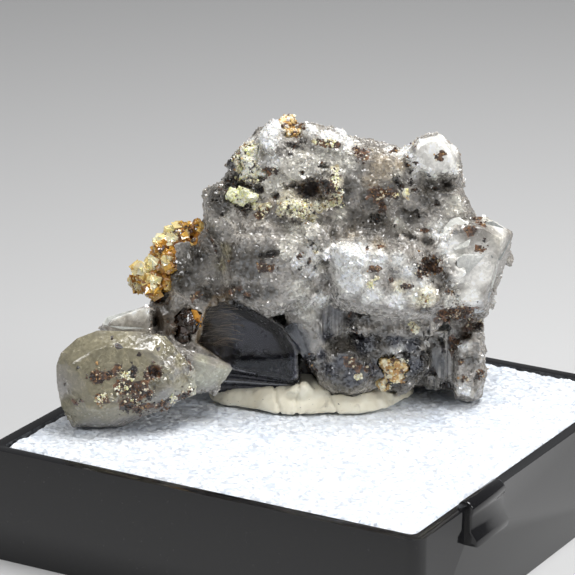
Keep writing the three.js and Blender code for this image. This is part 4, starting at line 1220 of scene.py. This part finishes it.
def putty_material():
    n = Nodes("putty")
    smear = n.noise(2.2, detail=4, distortion=1.2)
    specks = n.ramp(n.noise(0.16, detail=2), 0.70, 0.76)
    dirt = n.ramp(n.noise(0.9, detail=6, distortion=0.6), 0.56, 0.74)
    colour = n.mix(n.ramp(smear, 0.35, 0.75), (0.87, 0.83, 0.69), (0.76, 0.70, 0.54))
    colour = n.mix(n.times(dirt, 0.6), colour, (0.42, 0.38, 0.29))
    colour = n.mix(specks, colour, (0.10, 0.08, 0.06))
    return n.finish(Base_Color=colour, Roughness=0.5, Subsurface_Weight=0.25, Subsurface_Scale=0.3 * MM,
                    Subsurface_Radius=(1, 0.95, 0.85), Normal=n.bump(n.noise(0.3, detail=5), 0.05, 0.6))


# Cracks from top to bottom, as (u, v) pixels with the depth that the putty's front has there
PUTTY_CRACKS = [((274, 390), (279, 411)), ((299, 388), (296, 411)), ((331, 398), (337, 410))]
PUTTY_FRONT = 0.2


def putty():
    obj = copy_of("putty")
    remesh(obj, 0.12)
    base = coords(obj.data)
    points = relaxed(base, edge_pairs(obj.data), 3)
    relief = 0.14 * layered(points, 1.2, 61) + 0.045 * layered(points, 0.35, 62)
    for top, bottom in PUTTY_CRACKS:
        start, end = [seen(*picture_plane(*pixel), PUTTY_FRONT) for pixel in (top, bottom)]
        along = end - start
        share = np.clip(((points - start) @ along) / (along @ along), 0, 1)
        wander = 0.1 * noise(points, 0.5, 63)
        gap = np.abs((points - start - share[:, None] * along)[:, 0] + wander)
        relief -= 0.16 * (1 - smooth_step(gap, 0.02, 0.15)) * (points[:, 1] < 2)
    points = points + vertex_normals(obj.data) * relief[:, None]
    points[:, 2] = np.maximum(points[:, 2], 0.02)
    set_coords(obj.data, points)
    obj.data.shade_smooth()
    obj.name = "putty_lump"
    place(obj, "putty", putty_material(), "putty")


# Foam and box

def foam_material():
    n = Nodes("white_foam")
    blotch = n.noise(1.8, detail=4)
    cell = n.cells(0.2)
    one = n.channels(cell)[0]
    colour = n.mix(n.ramp(blotch, 0.35, 0.7), (0.88, 0.92, 0.98), (0.80, 0.86, 0.96))
    colour = n.scaled(colour, n.around(one, 0.22))
    tilt = n.tilted(cell, 0.7)
    return n.finish(Base_Color=colour, Roughness=0.3, Subsurface_Weight=0.3, Subsurface_Scale=0.2 * MM,
                    Subsurface_Radius=(1, 1, 1), Normal=tilt)


def foam():
    """A cut pad of fine closed cells: its top worked into cells, and plain sides down to its base."""
    side = 306
    low, high = FOAM_LOW[:2], FOAM_HIGH[:2]
    u = np.linspace(0, 1, side)
    x, y = np.meshgrid(low[0] + u * (high[0] - low[0]), low[1] + u * (high[1] - low[1]), indexing="xy")
    flat = np.stack([x.ravel(), y.ravel(), np.zeros(side * side)], 1)
    cells = blocky(flat, 0.42, 91, (1, 0.9, 0.9)) * 0.16 + blocky(flat, 0.25, 95, (1, 1, 0.8)) * 0.08
    edge = np.minimum(np.minimum(flat[:, 0] - low[0], high[0] - flat[:, 0]),
                      np.minimum(flat[:, 1] - low[1], high[1] - flat[:, 1]))
    droop = 0.3 * (1 - smooth_step(edge + 0.25 * layered(flat, 0.6, 97), 0.0, 0.45))
    flat[:, 2] = FOAM_TOP - 0.14 + cells + 0.04 * layered(flat, 4, 98) - droop
    flat[:, 2] = np.minimum(flat[:, 2], FOAM_TOP - 0.005)
    faces = [(i, i + 1, i + side + 1, i + side) for j in range(side - 1)
             for i in range(j * side, j * side + side - 1)]
    obj = new_object("foam_cells", flat, faces)
    with edited(obj.data) as work:
        rim = [e for e in work.edges if e.is_boundary]
        skirt = bmesh.ops.extrude_edge_only(work, edges=rim)["geom"]
        for v in [part for part in skirt if isinstance(part, bmesh.types.BMVert)]:
            v.co.z = FOAM_LOW[2]
        foot = [part for part in skirt if isinstance(part, bmesh.types.BMEdge) and part.is_boundary]
        bmesh.ops.contextual_create(work, geom=foot)
        bmesh.ops.recalc_face_normals(work, faces=work.faces)
    obj.data.shade_smooth()
    set_coords(obj.data, to_specimen(coords(obj.data) * MM))
    place(obj, "white_foam", foam_material(), "foam_pad")


def plastic_material():
    n = Nodes("black_plastic")
    scuffs = n.noise(0.5, detail=6, distortion=0.5)
    dust = n.ramp(n.noise(0.12, detail=2), 0.72, 0.78)
    colour = n.mix(dust, (0.004, 0.004, 0.005), (0.08, 0.08, 0.08))
    rough = n.linear(scuffs, 0.05, 0.12)
    return n.finish(Base_Color=colour, Roughness=rough, IOR=1.55,
                    Normal=n.bump(n.noise(3, detail=2), 0.02, 0.2))


def box():
    obj = copy_of("box_base")
    obj.name = "box_tray"
    bevelled(obj, 0.12, 3, math.radians(40))
    obj.data.shade_smooth()
    place(obj, "black_plastic", plastic_material(), "box_base")


# Floor, lights and camera

def floor():
    n = Nodes("floor")
    material = n.finish(Base_Color=(0.62, 0.62, 0.62), Roughness=0.6)
    size = 4.0
    corners = [(-size, -size, 0), (size, -size, 0), (size, size, 0), (-size, size, 0)]
    obj = new_object("floor", corners, [(0, 1, 2, 3)])
    obj.data.materials.append(material)


def aimed_object(name, data, place_mm, aim_mm):
    """A light or camera that stands at one point and looks at another."""
    obj = bpy.data.objects.new(name, data)
    bpy.context.scene.collection.objects.link(obj)
    where, aim = [Vector(p) for p in to_packed(np.array([place_mm, aim_mm]))]
    obj.location = where
    obj.rotation_mode = "QUATERNION"
    obj.rotation_quaternion = (aim - where).to_track_quat("-Z", "Y")
    return obj


def softbox(name, place_mm, aim_mm, size_mm, watts):
    light = bpy.data.lights.new(name, "AREA")
    light.shape = "RECTANGLE"
    light.size, light.size_y = [s * MM for s in size_mm]
    light.energy = watts
    aimed_object(name, light, place_mm, aim_mm)


def lights():
    middle = (0, 3, 6)
    softbox("top", (45, -10, 155), middle, (100, 80), 0.29)
    softbox("right", (150, -90, 90), middle, (70, 70), 0.1)
    softbox("left", (-120, -70, 120), middle, (60, 60), 0.08)
    world = bpy.data.worlds.new("studio")
    bpy.context.scene.world = world
    world.use_nodes = True
    background = world.node_tree.nodes["Background"]
    background.inputs["Color"].default_value = (0.97, 0.98, 1, 1)
    background.inputs["Strength"].default_value = 0.2


def camera():
    data = bpy.data.cameras.new("camera")
    data.lens = LENS
    data.sensor_width = SENSOR
    data.clip_start, data.clip_end = 0.01, 20
    bpy.context.scene.camera = aimed_object("camera", data, EYE, LOOK_AT)


def main():
    camera()
    floor()
    lights()
    bpy.context.scene.view_settings.view_transform = "Standard"
    mass, places = cerussite_mass()
    sugar(mass, places)
    places = Places(mass)
    crystal = cerussite_material()
    place(mass, "cerussite", crystal, "cerussite")
    flat_facets(places, crystal)
    clear_crystals()
    fibres()
    ribbed_foot()
    stolzite_and_crusts(places)
    putty()
    foam()
    box()


main()
